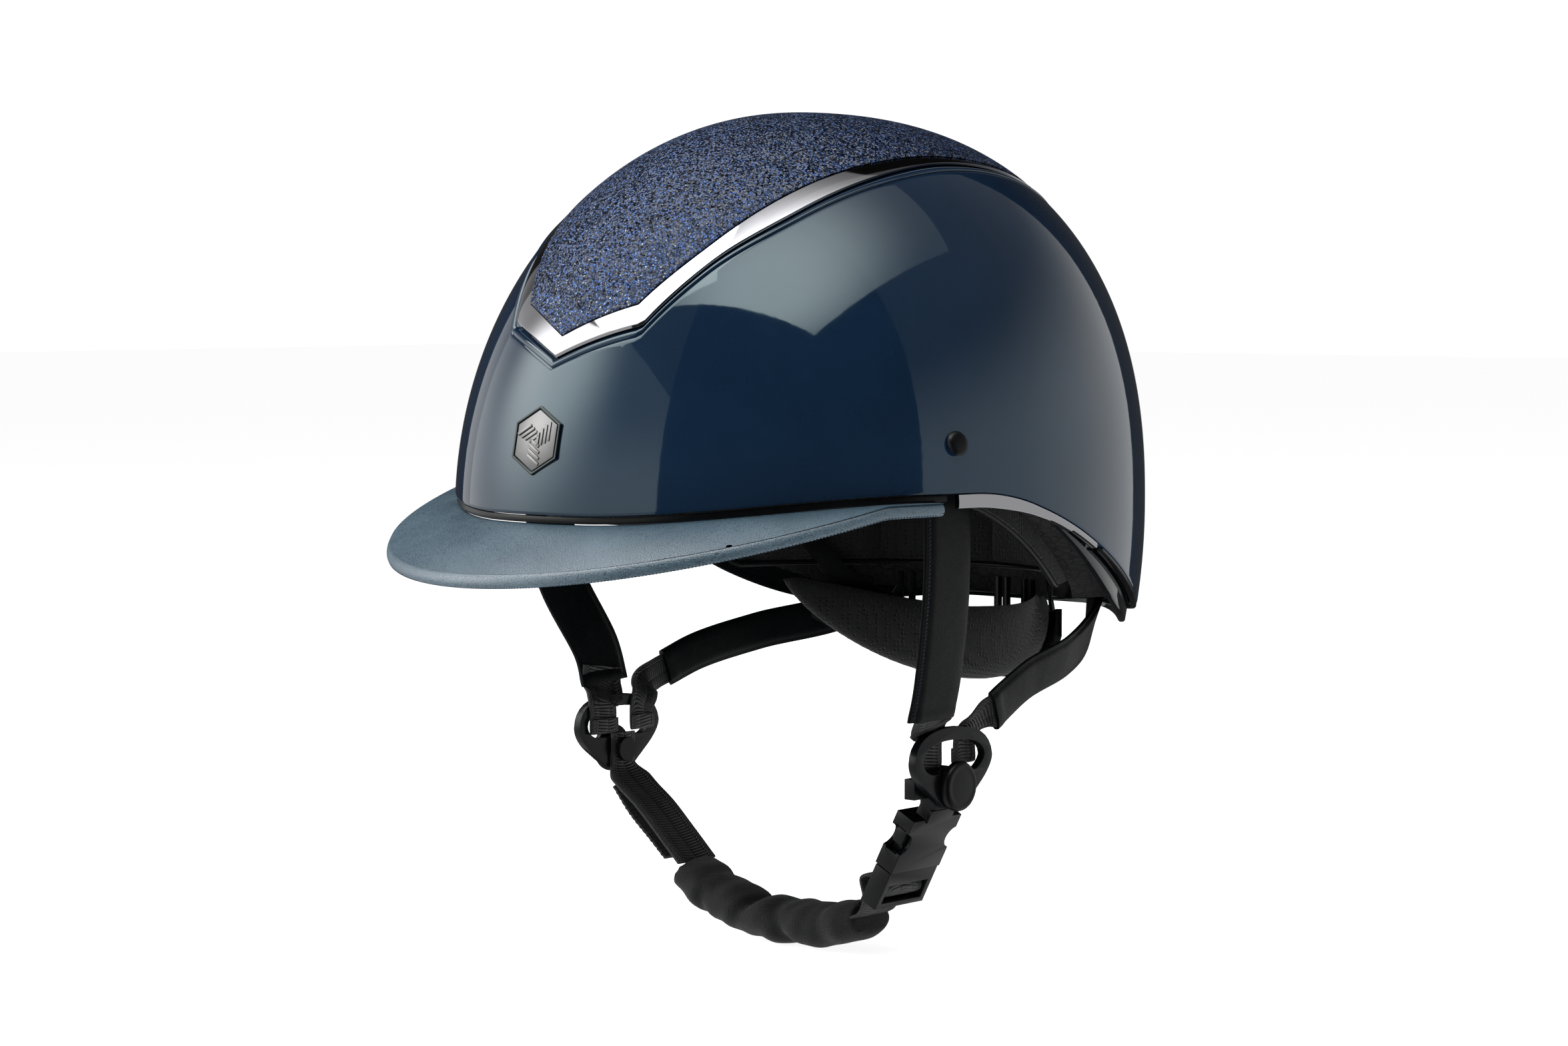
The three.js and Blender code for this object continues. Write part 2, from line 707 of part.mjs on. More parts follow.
function rearWeb(side) {
  const y = DIVIDER.pivotY + 8;
  const bend = DIVIDER.pivotZ + 13.5;
  const path = [
    point(side * (DIVIDER.x + 1.8), 14.6, -64.4),
    point(side * (DIVIDER.x + 2.3), 7, -66.3),
    point(side * (DIVIDER.x + 2.5), 0.5, -68.6),
    point(side * (DIVIDER.x + 2.5), y, -73),
    ...ringLoop(side, y, bend, -70),
  ];
  const across = (t, tangent, at) =>
    at.z < -72 || Math.abs(at.x) < DIVIDER.x + 1
      ? Y_AXIS.clone()
      : new THREE.Vector3().crossVectors(X_AXIS, tangent);
  return ribbon(path, across, STRAP.rearLoop, STRAP.web, 30);
}

/** D-shaped ring with a boss for the pivot button, drawn round the pivot. */
function divider(side) {
  const shape = new THREE.Shape();
  shape.moveTo(-21.5, 9);
  shape.quadraticCurveTo(-21, 20, -2, 20);
  shape.quadraticCurveTo(19, 20, 20.5, 9);
  shape.quadraticCurveTo(20.5, 5, 13, -1);
  shape.lineTo(7, -6);
  shape.quadraticCurveTo(0, -10, -7, -6);
  shape.lineTo(-14, -1);
  shape.quadraticCurveTo(-21.5, 4, -21.5, 9);
  const window = new THREE.Path();
  window.moveTo(-17.2, 9.5);
  window.quadraticCurveTo(-17, 6, -12, 4.6);
  window.lineTo(11.5, 4.6);
  window.quadraticCurveTo(16, 7, 16.2, 9.5);
  window.quadraticCurveTo(15.5, 15.6, -2, 15.7);
  window.quadraticCurveTo(-16.5, 15.6, -17.2, 9.5);
  shape.holes.push(window);
  const hole = new THREE.Path();
  hole.absarc(0, 0, BUTTON.shank + GAP, 0, 2 * Math.PI, false);
  shape.holes.push(hole);
  const depth = DIVIDER.thickness;
  const geometry = new THREE.ExtrudeGeometry(shape, { depth, bevelEnabled: false, curveSegments: 8 });
  geometry.rotateX(Math.PI / 2);
  geometry.rotateZ(Math.PI / 2);
  geometry.translate(side * DIVIDER.x - DIVIDER.thickness / 2, DIVIDER.pivotY, DIVIDER.pivotZ);
  return solidOf(geometry);
}

const ringOuter = DIVIDER.x + DIVIDER.thickness / 2;
const ringInner = DIVIDER.x - DIVIDER.thickness / 2;
const neckOuter = ringInner - GAP;
const neckInner = neckOuter - 6.6;
const tabInner = neckOuter - STRAP.web - 0.3;

/** Flanged pivot button: domed cap outside, shank through the ring, flange inside. */
function pivotButton(side, inner) {
  const depth = ringOuter + GAP - (inner - GAP);
  const profile = [
    [0, -depth - BUTTON.flangeThickness],
    [BUTTON.flange, -depth - BUTTON.flangeThickness],
    [BUTTON.flange, -depth],
    [BUTTON.shank, -depth],
    [BUTTON.shank, 0],
    [BUTTON.radius, 0],
    [BUTTON.radius, BUTTON.cap * 0.45],
    [BUTTON.radius * 0.86, BUTTON.cap * 0.85],
    [BUTTON.radius * 0.5, BUTTON.cap],
    [0, BUTTON.cap],
  ];
  const from = point(side * (ringOuter + GAP), DIVIDER.pivotY, DIVIDER.pivotZ);
  return turned(profile, from, point(side, 0, 0), 28);
}

// ---------------------------------------------------------------- buckle, drawn along its own axis

const buckleTurn = degToRad(BUCKLE.lean);

/** Carry a solid drawn in the helmet's frame into the buckle's own frame. */
function intoBuckle(geometry) {
  geometry.translate(-BUCKLE.x, -DIVIDER.pivotY, -BUCKLE.z);
  geometry.rotateY(-buckleTurn);
  return geometry;
}

function buckleFemale() {
  const w = BUCKLE.width / 2;
  const t = BUCKLE.thickness / 2;
  const inner = w - BUCKLE.sideWall;
  const windowTop = BUCKLE.collar + BUCKLE.window;
  let solid = box([-t, -w, 0], [t, w, BUCKLE.body]);
  solid = solid.subtract(box([BUCKLE.wall - t, -inner, -1], [t - BUCKLE.wall, inner, windowTop]));
  for (const side of Object.values(SIDES)) {
    const [low, high] = inOrder(side * (inner - 1), side * (w + 1));
    solid = solid.subtract(box([BUCKLE.wall - t, low, BUCKLE.collar], [t - BUCKLE.wall, high, windowTop]));
    const notch = (x) => point(x, side * (w + 0.8), BUCKLE.collar + BUCKLE.window / 2);
    solid = solid.subtract(rod(notch(-t - 1), notch(t + 1), BUCKLE.notch));
  }
  const bridge = box([-1, -BUCKLE.neck, BUCKLE.body - 1], [4.8, BUCKLE.neck, BUCKLE.body + 4]);
  solid = solid.add(bridge);
  const pivot = (x) => point(x, DIVIDER.pivotY, DIVIDER.pivotZ);
  let neck = rod(pivot(neckInner), pivot(neckOuter), BUCKLE.neck, 28);
  const { pivotY: y, pivotZ: z } = DIVIDER;
  neck = neck.add(box([neckInner, y - BUCKLE.neck, z - 8], [neckOuter, y + BUCKLE.neck, z]));
  const wing = BUCKLE.wing;
  neck = neck.add(box([neckInner, y - wing, z - 4], [neckOuter - 2.2, y + wing, z + 3]));
  neck = neck.subtract(rod(pivot(neckInner - 1), pivot(neckOuter + 1), BUTTON.shank + GAP, 28));
  return solid.add(solidOf(intoBuckle(geometryOf(neck))));
}

/** Place across the chin, widened or narrowed with the distance between the rings. */
const routed = (x) => (x * DIVIDER.x) / CHIN.drawnFor;

const slotMiddle = (BUCKLE.slotLow + BUCKLE.slotHigh) / 2;

function buckleMale() {
  const w = BUCKLE.width / 2;
  const t = BUCKLE.maleThickness / 2;
  const bottom = -BUCKLE.maleLength;
  let solid = box([-t, -w, bottom], [t, w, -GAP]);
  const opening = w - BUCKLE.frame;
  solid = solid.subtract(box([-t - 1, -opening, BUCKLE.slotLow], [t + 1, opening, BUCKLE.slotHigh]));
  const barEnd = (side) => point(0, side * (opening + 0.4), slotMiddle);
  solid = solid.add(rod(barEnd(-1), barEnd(1), BUCKLE.bar, 12));
  solid = solid.add(box([-1.9, -BUCKLE.guide, -1], [1.9, BUCKLE.guide, 8]));
  for (const side of Object.values(SIDES)) {
    const [low, high] = inOrder(side * (prongInner - 2.2), side * (prongOuter + 0.5));
    const half = PRONG.thickness / 2 + GAP;
    solid = solid.subtract(box([-half, low, PRONG.root - 1.6], [half, high, 1]));
  }
  return solid;
}

const prongOuter = BUCKLE.width / 2 - BUCKLE.sideWall - 0.6;
const prongInner = prongOuter - PRONG.width;

/** A spring prong: a slim stem with a barbed pad that shows in the side window. */
function prong(side) {
  const t = PRONG.thickness / 2;
  const stem = inOrder(side * prongInner, side * prongOuter);
  const pad = inOrder(side * (prongInner - 0.3), side * (prongOuter + 0.6 + PRONG.barb));
  const end = PRONG.padStart + PRONG.pad;
  const solid = box([-t, stem[0], PRONG.root], [t, stem[1], PRONG.padStart + 0.5]);
  return solid.add(box([-t, pad[0], PRONG.padStart], [t, pad[1], end]));
}

/** Short webbing from the male half's bar, round the bar and down to the chin pad. */
function buckleWeb() {
  const bar = slotMiddle;
  const r = BUCKLE.bar + GAP + STRAP.web / 2;
  const c = Math.cos(buckleTurn);
  const s = Math.sin(buckleTurn);
  const local = (x, z) => point(BUCKLE.x + x * c + z * s, DIVIDER.pivotY, BUCKLE.z - x * s + z * c);
  const path = [local(-5, bar - r)];
  for (let i = 0; i <= 6; i++) {
    const a = -Math.PI / 2 + (Math.PI * i) / 6;
    path.push(local(r * Math.cos(a), bar + r * Math.sin(a)));
  }
  path.push(local(-5.5, bar + r));
  for (const [inset, z] of [[12.7, -123.5], [14.9, -130]]) {
    path.push(point(BUCKLE.x - inset, DIVIDER.pivotY, z));
  }
  return ribbon(path, alongY, BUCKLE.width - 6, STRAP.web, 26);
}

// ---------------------------------------------------------------- chin strap

const chinPoint = (x, z) => point(x, DIVIDER.pivotY, z);

function chinWebUpper() {
  const x = -(neckOuter - (STRAP.web + 0.3) / 2);
  const path = [[x, -84.5], [x, -90], [x, -95.8], [routed(-68.2), -102], [routed(-59), -108.5]];
  const width = (t) => lerp(CHIN.tab, CHIN.web, smoothstep(t, 0.45, 0.75));
  const strip = ribbon(path.map(([px, pz]) => chinPoint(px, pz)), alongY, width, STRAP.web, 12);
  const hole = (px) => chinPoint(px, DIVIDER.pivotZ);
  return strip.subtract(rod(hole(6 - ringInner), hole(-ringOuter), BUTTON.shank + GAP));
}

function chinWebLower() {
  const path = [[-58.7, -108.9], [-49, -117.5], [-40.2, -125.6]];
  return ribbon(path.map(([x, z]) => chinPoint(routed(x), z)), alongY, CHIN.web, STRAP.web, 6);
}

function hookTail() {
  const path = [[-70.5, -102.5], [-62.5, -111.5], [-53, -119.5], [-45.5, -126]];
  return ribbon(path.map(([x, z]) => chinPoint(routed(x), z)), alongY, CHIN.web - 1, STRAP.web, 8);
}

/** Padded sleeve round the webbing: an oval section carried along the chin. */
function chinPad() {
  const path = [[-40, -130.5], [-28, -137.5], [-13, -142], [4, -144], [20, -143.6], [33, -141], [42, -138.4]];
  const points = path.map(([x, z]) => chinPoint(routed(x), z));
  const curve = new THREE.CatmullRomCurve3(points, false, "centripetal");
  const loops = [];
  const steps = 14;
  for (let i = 0; i <= steps; i++) {
    const centre = curve.getPointAt(i / steps);
    const tangent = curve.getTangentAt(i / steps);
    const up = new THREE.Vector3().crossVectors(tangent, Y_AXIS).normalize();
    const loop = [];
    for (let k = 0; k < 12; k++) {
      const a = (2 * Math.PI * (k + 0.5)) / 12;
      const round = centre.clone().addScaledVector(Y_AXIS, (Math.cos(a) * CHIN.padWidth) / 2);
      loop.push(round.addScaledVector(up, (Math.sin(a) * CHIN.padThickness) / 2));
    }
    loops.push(loop);
  }
  return loft(loops);
}

// ---------------------------------------------------------------- nape cradle and fit dial

/** Point on the nape curve at an angle from straight back, moved outward by an offset. */
function napePoint(degrees, offset, z) {
  const a = degToRad(degrees);
  const x = (NAPE.halfWidth + offset) * Math.sin(a);
  return point(x, NAPE.centreY + (NAPE.reach + offset) * Math.cos(a), z);
}

const frameInner = NAPE.padThickness / 2 + 0.5;
const frameOuter = frameInner + NAPE.frameThickness;
const frameBackY = NAPE.centreY + NAPE.reach + frameOuter;
const channelBackY = frameBackY + GAP + HOUSING.channel;
const housingBackY = channelBackY + HOUSING.wall;
const rackY = frameBackY + GAP + HOUSING.channel / 2;

function napePad() {
  const loops = [];
  const steps = 20;
  for (let i = 0; i <= steps; i++) {
    const a = lerp(-NAPE.padAngle, NAPE.padAngle, i / steps);
    const end = (a / NAPE.padAngle) ** 2;
    const middle = lerp((NAPE.padTop + NAPE.padBottom) / 2, -32, end);
    const half = lerp((NAPE.padTop - NAPE.padBottom) / 2, 3.5, end);
    const thick = lerp(NAPE.padThickness, 6.5, end) / 2;
    const loop = [];
    for (let k = 0; k < 8; k++) {
      const turn = (2 * Math.PI * (k + 0.5)) / 8;
      const bulge = 1 / Math.cos(Math.PI / 8);
      const offset = Math.max(-1, Math.min(1, Math.cos(turn) * bulge)) * thick;
      loop.push(napePoint(a, offset, middle + Math.sin(turn) * bulge * half));
    }
    loops.push(loop);
  }
  return loft(loops);
}

function napeFrame() {
  const loops = [];
  const steps = 16;
  for (let i = 0; i <= steps; i++) {
    const a = lerp(-NAPE.frameAngle, NAPE.frameAngle, i / steps);
    const end = (a / NAPE.padAngle) ** 2;
    const top = -43.5 + 9 * end;
    const bottom = -66.5 + 28 * end;
    loops.push([
      napePoint(a, frameInner, top),
      napePoint(a, frameOuter, top),
      napePoint(a, frameOuter, bottom),
      napePoint(a, frameInner, bottom),
    ]);
  }
  let solid = loft(loops);
  for (const a of NAPE.struts.flatMap((at) => [-at, at])) {
    const low = napePoint(a, frameInner + 0.05, -46);
    const high = napePoint(a, frameInner + 0.05, NAPE.strutTop);
    const half = NAPE.strutWidth / 2;
    const post = box([-half, 0, low.z], [half, NAPE.frameThickness - 0.1, high.z]);
    const geometry = geometryOf(post);
    geometry.rotateZ(-degToRad(a));
    geometry.translate(low.x, low.y, 0);
    solid = solid.add(solidOf(geometry));
  }
  const screw = rod(point(0, frameBackY - 6, DIAL.z), point(0, frameBackY + 1, DIAL.z), DIAL.screw + GAP, 16);
  return solid.subtract(screw);
}

/** Tray behind the frame that the toothed bands run through. */
function dialHousing() {
  const { halfWidth: w, halfHeight: h, wall } = HOUSING;
  let solid = box([-w, frameBackY + GAP, DIAL.z - h], [w, housingBackY, DIAL.z + h]);
  const channel = box([-w - 1, frameBackY, DIAL.z - h + wall], [w + 1, channelBackY, DIAL.z + h - wall]);
  solid = solid.subtract(channel);
  const bore = rod(point(0, channelBackY - 1, DIAL.z), point(0, housingBackY + 1, DIAL.z), 3.3, 20);
  solid = solid.subtract(bore);
  return solid.subtract(napeFrameBacking());
}

/** Room that the curved frame takes from the flat housing. */
function napeFrameBacking() {
  const loops = [];
  for (let i = 0; i <= 12; i++) {
    const a = lerp(-22, 22, i / 12);
    loops.push([
      napePoint(a, frameInner, -30),
      napePoint(a, frameOuter + GAP, -30),
      napePoint(a, frameOuter + GAP, -80),
      napePoint(a, frameInner, -80),
    ]);
  }
  return loft(loops);
}

function fitDial() {
  const shape = new THREE.Shape();
  const ribs = 18;
  for (let i = 0; i < ribs * 2; i++) {
    const a = (Math.PI * i) / ribs;
    const r = DIAL.radius - (i % 2 ? 0.9 : 0);
    if (i) shape.lineTo(r * Math.cos(a), r * Math.sin(a));
    else shape.moveTo(r, 0);
  }
  shape.closePath();
  const geometry = new THREE.ExtrudeGeometry(shape, { depth: DIAL.depth, bevelEnabled: false });
  geometry.rotateX(-Math.PI / 2);
  geometry.translate(0, housingBackY + GAP, DIAL.z);
  const knob = solidOf(geometry);
  const back = housingBackY + GAP + DIAL.depth;
  const well = rod(point(0, back - 2.2, DIAL.z), point(0, back + 1, DIAL.z), 3.6, 24);
  const bore = rod(point(0, housingBackY, DIAL.z), point(0, back, DIAL.z), DIAL.screw + GAP, 20);
  return knob.subtract(well).subtract(bore);
}

/** Flat gear outline with square teeth, one pointing straight up. */
function pinion() {
  const { teeth, pitchRadius, tooth } = DIAL;
  const root = pitchRadius - 1;
  const tip = pitchRadius + 0.8;
  let solid = rod(point(0, frameBackY + 2 * GAP, DIAL.z), point(0, housingBackY - GAP, DIAL.z), 3, 24);
  for (let i = 0; i < teeth; i++) {
    const geometry = new THREE.BoxGeometry(tooth, HOUSING.channel - 4 * GAP, tip - root + 0.6);
    geometry.translate(0, rackY, (tip + root - 0.6) / 2);
    geometry.rotateY((2 * Math.PI * i) / teeth);
    geometry.translate(0, 0, DIAL.z);
    solid = solid.add(solidOf(geometry));
  }
  const bore = rod(point(0, frameBackY, DIAL.z), point(0, housingBackY + 1, DIAL.z), DIAL.screw + GAP, 16);
  return solid.subtract(bore);
}

function dialScrew() {
  const back = housingBackY + GAP + DIAL.depth - 2.2 + GAP;
  const start = frameBackY - NAPE.frameThickness;
  const length = back - start;
  const profile = [
    [0, 0],
    [DIAL.screw, 0],
    [DIAL.screw, length],
    [3.2, length],
    [3.2, length + 1.4],
    [0, length + 1.4],
  ];
  return turned(profile, point(0, start, DIAL.z), point(0, 1, 0), 16);
}

/** A side band: eye at the temple, curved arm, and a toothed tail that meets the pinion. */
function sideBand(side) {
  const up = side; // the left tail runs over the pinion, the right tail under it
  const pitch = DIAL.z + up * DIAL.pitchRadius;
  const rootZ = pitch + up * 1;
  const backZ = rootZ + up * 3.2;
  const tailEnd = -6;
  const tailStart = 13;
  const zs = inOrder(rootZ, backZ);
  const xs = inOrder(side * tailEnd, side * (tailStart + 1));
  let solid = box([xs[0], rackY - 1.2, zs[0]], [xs[1], rackY + 1.2, zs[1]]);
  const step = (2 * Math.PI * DIAL.pitchRadius) / DIAL.teeth;
  for (let i = -1; i < 4; i++) {
    const x = side * step * (i + 0.5);
    const [low, high] = inOrder(pitch - up * 0.8, rootZ + up * 0.4);
    const half = DIAL.tooth / 2;
    solid = solid.add(box([x - half, rackY - 1.2, low], [x + half, rackY + 1.2, high]));
  }
  const tailZ = (rootZ + backZ) / 2;
  const outboard = (x) => (side * x * BAND.pinX) / BAND.drawnFor;
  const path = [
    point(side * 12.6, rackY, tailZ),
    point(side * 22, rackY - 0.6, lerp(tailZ, -46, 0.35)),
    point(outboard(33), rackY - 5.5, -43.5),
    point(outboard(40), 96, -40.5),
    point(outboard(47), 84, -33),
    point(outboard(54.5), 75.5, -21.5),
    point(outboard(60), 68.5, -11),
    point(outboard(69), 50, -1.5),
    point(outboard(75), 25, 4.5),
    point(outboard(77.2), 4, 6.3),
    point(outboard(76.6), -10, BAND.pinZ),
    point(side * BAND.pinX, BAND.pinY + 1.5, BAND.pinZ),
  ];
  const width = (t) => lerp(3, BAND.height, smoothstep(t, 0.02, 0.2));
  solid = solid.add(ribbon(path, outwardFrom(NAPE.centreY), width, BAND.thickness, 30));
  const half = BAND.height / 2;
  const eye = (r, h) => rod(pinPoint(side, -h), pinPoint(side, h), r, 20);
  return solid.add(eye(BAND.eye, half)).subtract(eye(BAND.pin + GAP, half + 1));
}

const pinPoint = (side, dz) => point(side * BAND.pinX, BAND.pinY, BAND.pinZ + dz);

function templePin(side) {
  const half = BAND.height / 2 + GAP;
  const profile = [
    [0, -half - 1.2],
    [BAND.eye - 0.3, -half - 1.2],
    [BAND.eye - 0.3, -half],
    [BAND.pin, -half],
    [BAND.pin, half],
    [BAND.eye - 0.3, half],
    [BAND.eye - 0.3, half + 1.2],
    [0, half + 1.2],
  ];
  return turned(profile, pinPoint(side, 0), point(0, 0, 1), 16);
}

// ---------------------------------------------------------------- assembly

const helmet = new THREE.Group();

/** Add a named piece with its finish to a group. */
function place(name, solid, finish, parent = helmet) {
  const [color, roughness, metalness] = FINISH[finish];
  const material = new THREE.MeshStandardMaterial({ color, roughness, metalness });
  const mesh = new THREE.Mesh(geometryOf(solid), material);
  mesh.name = name;
  parent.add(mesh);
}

place("outer_shell", outerShell(), "navyGloss");
place("top_panel", topPanel(), "glitter");
place("top_frame", topFrame(), "chrome");
place("badge_bezel", badgeBezel(), "blackGloss");
place("badge_plate", badgePlate(), "gunmetal");
place("front_edging", frontEdging(), "blackPlastic");
place("rear_edging", rearEdging(), "blackPlastic");
place("lower_rim", lowerRim(), "blackGloss");
place("foam_liner", foamLiner(), "foam");
place("headband", headband(), "mesh");
place("crown_pad", crownPad(), "mesh");

place("peak_cover", peakCover(), "navyLeather");
place("peak_board", peakBoard(), "blackPlastic");
place("peak_lining", peakLining(), "navyLeather");
place("peak_binding", peakBinding(), "navyLeather");

for (const [name, side] of Object.entries(SIDES)) {
  place(`rivet_${name}`, rivet(side), "blackPlastic");
  place(`ear_trim_${name}`, earTrim(side), "chrome");
  place(`front_strap_${name}`, frontSleeve(name, side), "blackLeather");
  place(`rear_strap_${name}`, rearSleeve(side), "blackLeather");
  place(`front_web_${name}`, frontWeb(name, side), "webbing");
  place(`rear_web_${name}`, rearWeb(side), "webbing");
  place(`divider_${name}`, divider(side), "blackPlastic");
  place(`side_band_${name}`, sideBand(side), "blackPlastic");
  place(`temple_pin_${name}`, templePin(side), "blackPlastic");
}
place("pivot_button_left", pivotButton(1, neckInner), "blackPlastic");
place("pivot_button_right", pivotButton(-1, tabInner), "blackPlastic");

const buckle = new THREE.Group();
buckle.position.set(BUCKLE.x, DIVIDER.pivotY, BUCKLE.z);
buckle.rotation.y = buckleTurn;
helmet.add(buckle);
place("buckle_female", buckleFemale(), "blackPlastic", buckle);
place("buckle_male", buckleMale(), "blackPlastic", buckle);
place("prong_rear", prong(1), "blackPlastic", buckle);
place("prong_front", prong(-1), "blackPlastic", buckle);

place("buckle_web", buckleWeb(), "webbing");
place("chin_web_upper", chinWebUpper(), "webbing");
place("chin_web_lower", chinWebLower(), "webbing");
place("hook_tail", hookTail(), "webbing");
place("chin_pad", chinPad(), "mesh");

place("nape_pad", napePad(), "mesh");
place("nape_frame", napeFrame(), "blackPlastic");
place("dial_housing", dialHousing(), "blackPlastic");
place("fit_dial", fitDial(), "blackPlastic");
place("dial_pinion", pinion(), "blackPlastic");
place("dial_screw", dialScrew(), "steel");

export default helmet;
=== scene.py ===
"""Dress a peaked riding helmet: lacquered shell, glitter panel, leather-look peak, harness and fit cradle.

Sizes are in millimetres in the code and become metres when a mesh is made. The frame is +X the wearer's
left, -Y the front and +Z up, with the origin at the centre of the head opening.
"""

import logging
import math
from collections.abc import Callable, Sequence
from dataclasses import dataclass, field
from enum import Enum

import bmesh
import bpy
from mathutils import Matrix, Quaternion, Vector


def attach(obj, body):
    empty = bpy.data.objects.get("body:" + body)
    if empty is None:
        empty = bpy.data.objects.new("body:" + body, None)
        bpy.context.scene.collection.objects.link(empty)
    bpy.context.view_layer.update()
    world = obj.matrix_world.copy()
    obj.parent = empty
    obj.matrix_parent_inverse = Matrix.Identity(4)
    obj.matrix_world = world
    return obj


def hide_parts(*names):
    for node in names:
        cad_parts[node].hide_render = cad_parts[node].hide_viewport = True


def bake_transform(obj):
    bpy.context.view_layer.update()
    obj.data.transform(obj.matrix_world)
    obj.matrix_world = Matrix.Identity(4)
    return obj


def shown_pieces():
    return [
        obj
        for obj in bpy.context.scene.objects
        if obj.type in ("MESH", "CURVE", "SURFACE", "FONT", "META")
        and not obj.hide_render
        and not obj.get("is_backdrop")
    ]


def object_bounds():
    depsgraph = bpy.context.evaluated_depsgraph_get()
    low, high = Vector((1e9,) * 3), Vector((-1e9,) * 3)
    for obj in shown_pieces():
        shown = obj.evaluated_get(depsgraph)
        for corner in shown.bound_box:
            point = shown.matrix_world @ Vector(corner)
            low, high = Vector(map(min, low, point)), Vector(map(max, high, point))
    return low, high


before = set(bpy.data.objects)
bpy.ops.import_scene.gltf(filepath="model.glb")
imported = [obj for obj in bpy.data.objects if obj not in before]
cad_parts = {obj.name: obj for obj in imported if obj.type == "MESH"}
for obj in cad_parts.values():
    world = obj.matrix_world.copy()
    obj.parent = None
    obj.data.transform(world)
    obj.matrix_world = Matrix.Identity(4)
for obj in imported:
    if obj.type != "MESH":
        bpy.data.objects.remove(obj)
CAD_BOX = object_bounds()
LOG = logging.getLogger("helmet")
MM = 0.001
UV_UNIT = 250.0  # millimetres of surface for one unit of UV
FLOOR_REACH = 9.0  # metres from the helmet to each edge of the studio floor
Place = Callable[[float, float], Vector]
Pair = tuple[float, float]


class Body(Enum):
    """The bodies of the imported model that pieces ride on."""

    HELMET = "helmet"
    CRADLE = "cradle"
    DIAL = "dial"
    BAND_LEFT = "band_left"
    BAND_RIGHT = "band_right"
    CHIN_YOKE = "chin_yoke"
    CHIN_STRAP = "chin_strap"
    PRONG_FRONT = "prong_front"
    PRONG_REAR = "prong_rear"


class Side(Enum):
    """The wearer's two sides, as the sign of X."""

    LEFT = 1
    RIGHT = -1

    @property
    def word(self) -> str:
        """The side's name in lower case."""
        return self.name.lower()


# ------------------------------------------------------------------ number helpers


def lerp(a: float, b: float, t: float) -> float:
    """Blend two numbers."""
    return a + (b - a) * t


def smoothstep(x: float, low: float, high: float) -> float:
    """Ease from 0 at low to 1 at high."""
    t = min(max((x - low) / (high - low), 0.0), 1.0)
    return t * t * (3 - 2 * t)


def signed_power(value: float, power: float) -> float:
    """Raise a number's size to a power and keep its sign."""
    return math.copysign(abs(value) ** power, value)


def folded(degrees: float) -> float:
    """The angle from the front, 0 to 180, whichever side it is on."""
    return abs((degrees + 540) % 360 - 180)


# ------------------------------------------------------------------ meshes


def to_object(bm: bmesh.types.BMesh, name: str, smooth_angle: float = 40.0) -> bpy.types.Object:
    """Turn a finished bmesh into an object of the scene.

    Args:
        bm: The mesh, in metres; it is freed.
        name: The new object's name.
        smooth_angle: Edges sharper than this, in degrees, stay sharp.

    Returns:
        The new object, at the origin.
    """
    mesh = bpy.data.meshes.new(name)
    bm.to_mesh(mesh)
    bm.free()
    mesh.polygons.foreach_set("use_smooth", [True] * len(mesh.polygons))
    mesh.set_sharp_from_angle(angle=math.radians(smooth_angle))
    piece = bpy.data.objects.new(name, mesh)
    bpy.context.scene.collection.objects.link(piece)
    return piece


def patch(
    name: str,
    columns: int,
    rows: int,
    place: Place,
    size: Pair = (UV_UNIT, UV_UNIT),
    caps: bool = False,
    smooth_angle: float = 40.0,
) -> bpy.types.Object:
    """Make a surface from a grid whose vertices are put in place by a function.

    Args:
        name: The new object's name.
        columns: Faces along u.
        rows: Faces along v.
        place: Gives the point, in millimetres, for u and v from 0 to 1.
        size: The surface's length along u and v in millimetres, for its UV map.
        caps: Whether open ends are filled.
        smooth_angle: Edges sharper than this, in degrees, stay sharp.

    Returns:
        The new object; edges that meet are merged.
    """
    bm = bmesh.new()
    bmesh.ops.create_grid(bm, x_segments=columns, y_segments=rows, size=0.5)
    layer = bm.loops.layers.uv.new("UVMap")
    for face in bm.faces:
        for corner in face.loops:
            u, v = corner.vert.co.x + 0.5, corner.vert.co.y + 0.5
            corner[layer].uv = (u * size[0] / UV_UNIT, v * size[1] / UV_UNIT)
    for vert in bm.verts:
        vert.co = place(vert.co.x + 0.5, vert.co.y + 0.5) * MM
    bmesh.ops.remove_doubles(bm, verts=bm.verts, dist=2e-6)
    if caps:
        rims = [edge for edge in bm.edges if edge.is_boundary]
        bmesh.ops.holes_fill(bm, edges=rims, sides=0)
    bmesh.ops.dissolve_degenerate(bm, dist=1e-7, edges=bm.edges)
    bmesh.ops.recalc_face_normals(bm, faces=bm.faces)
    return to_object(bm, name, smooth_angle)


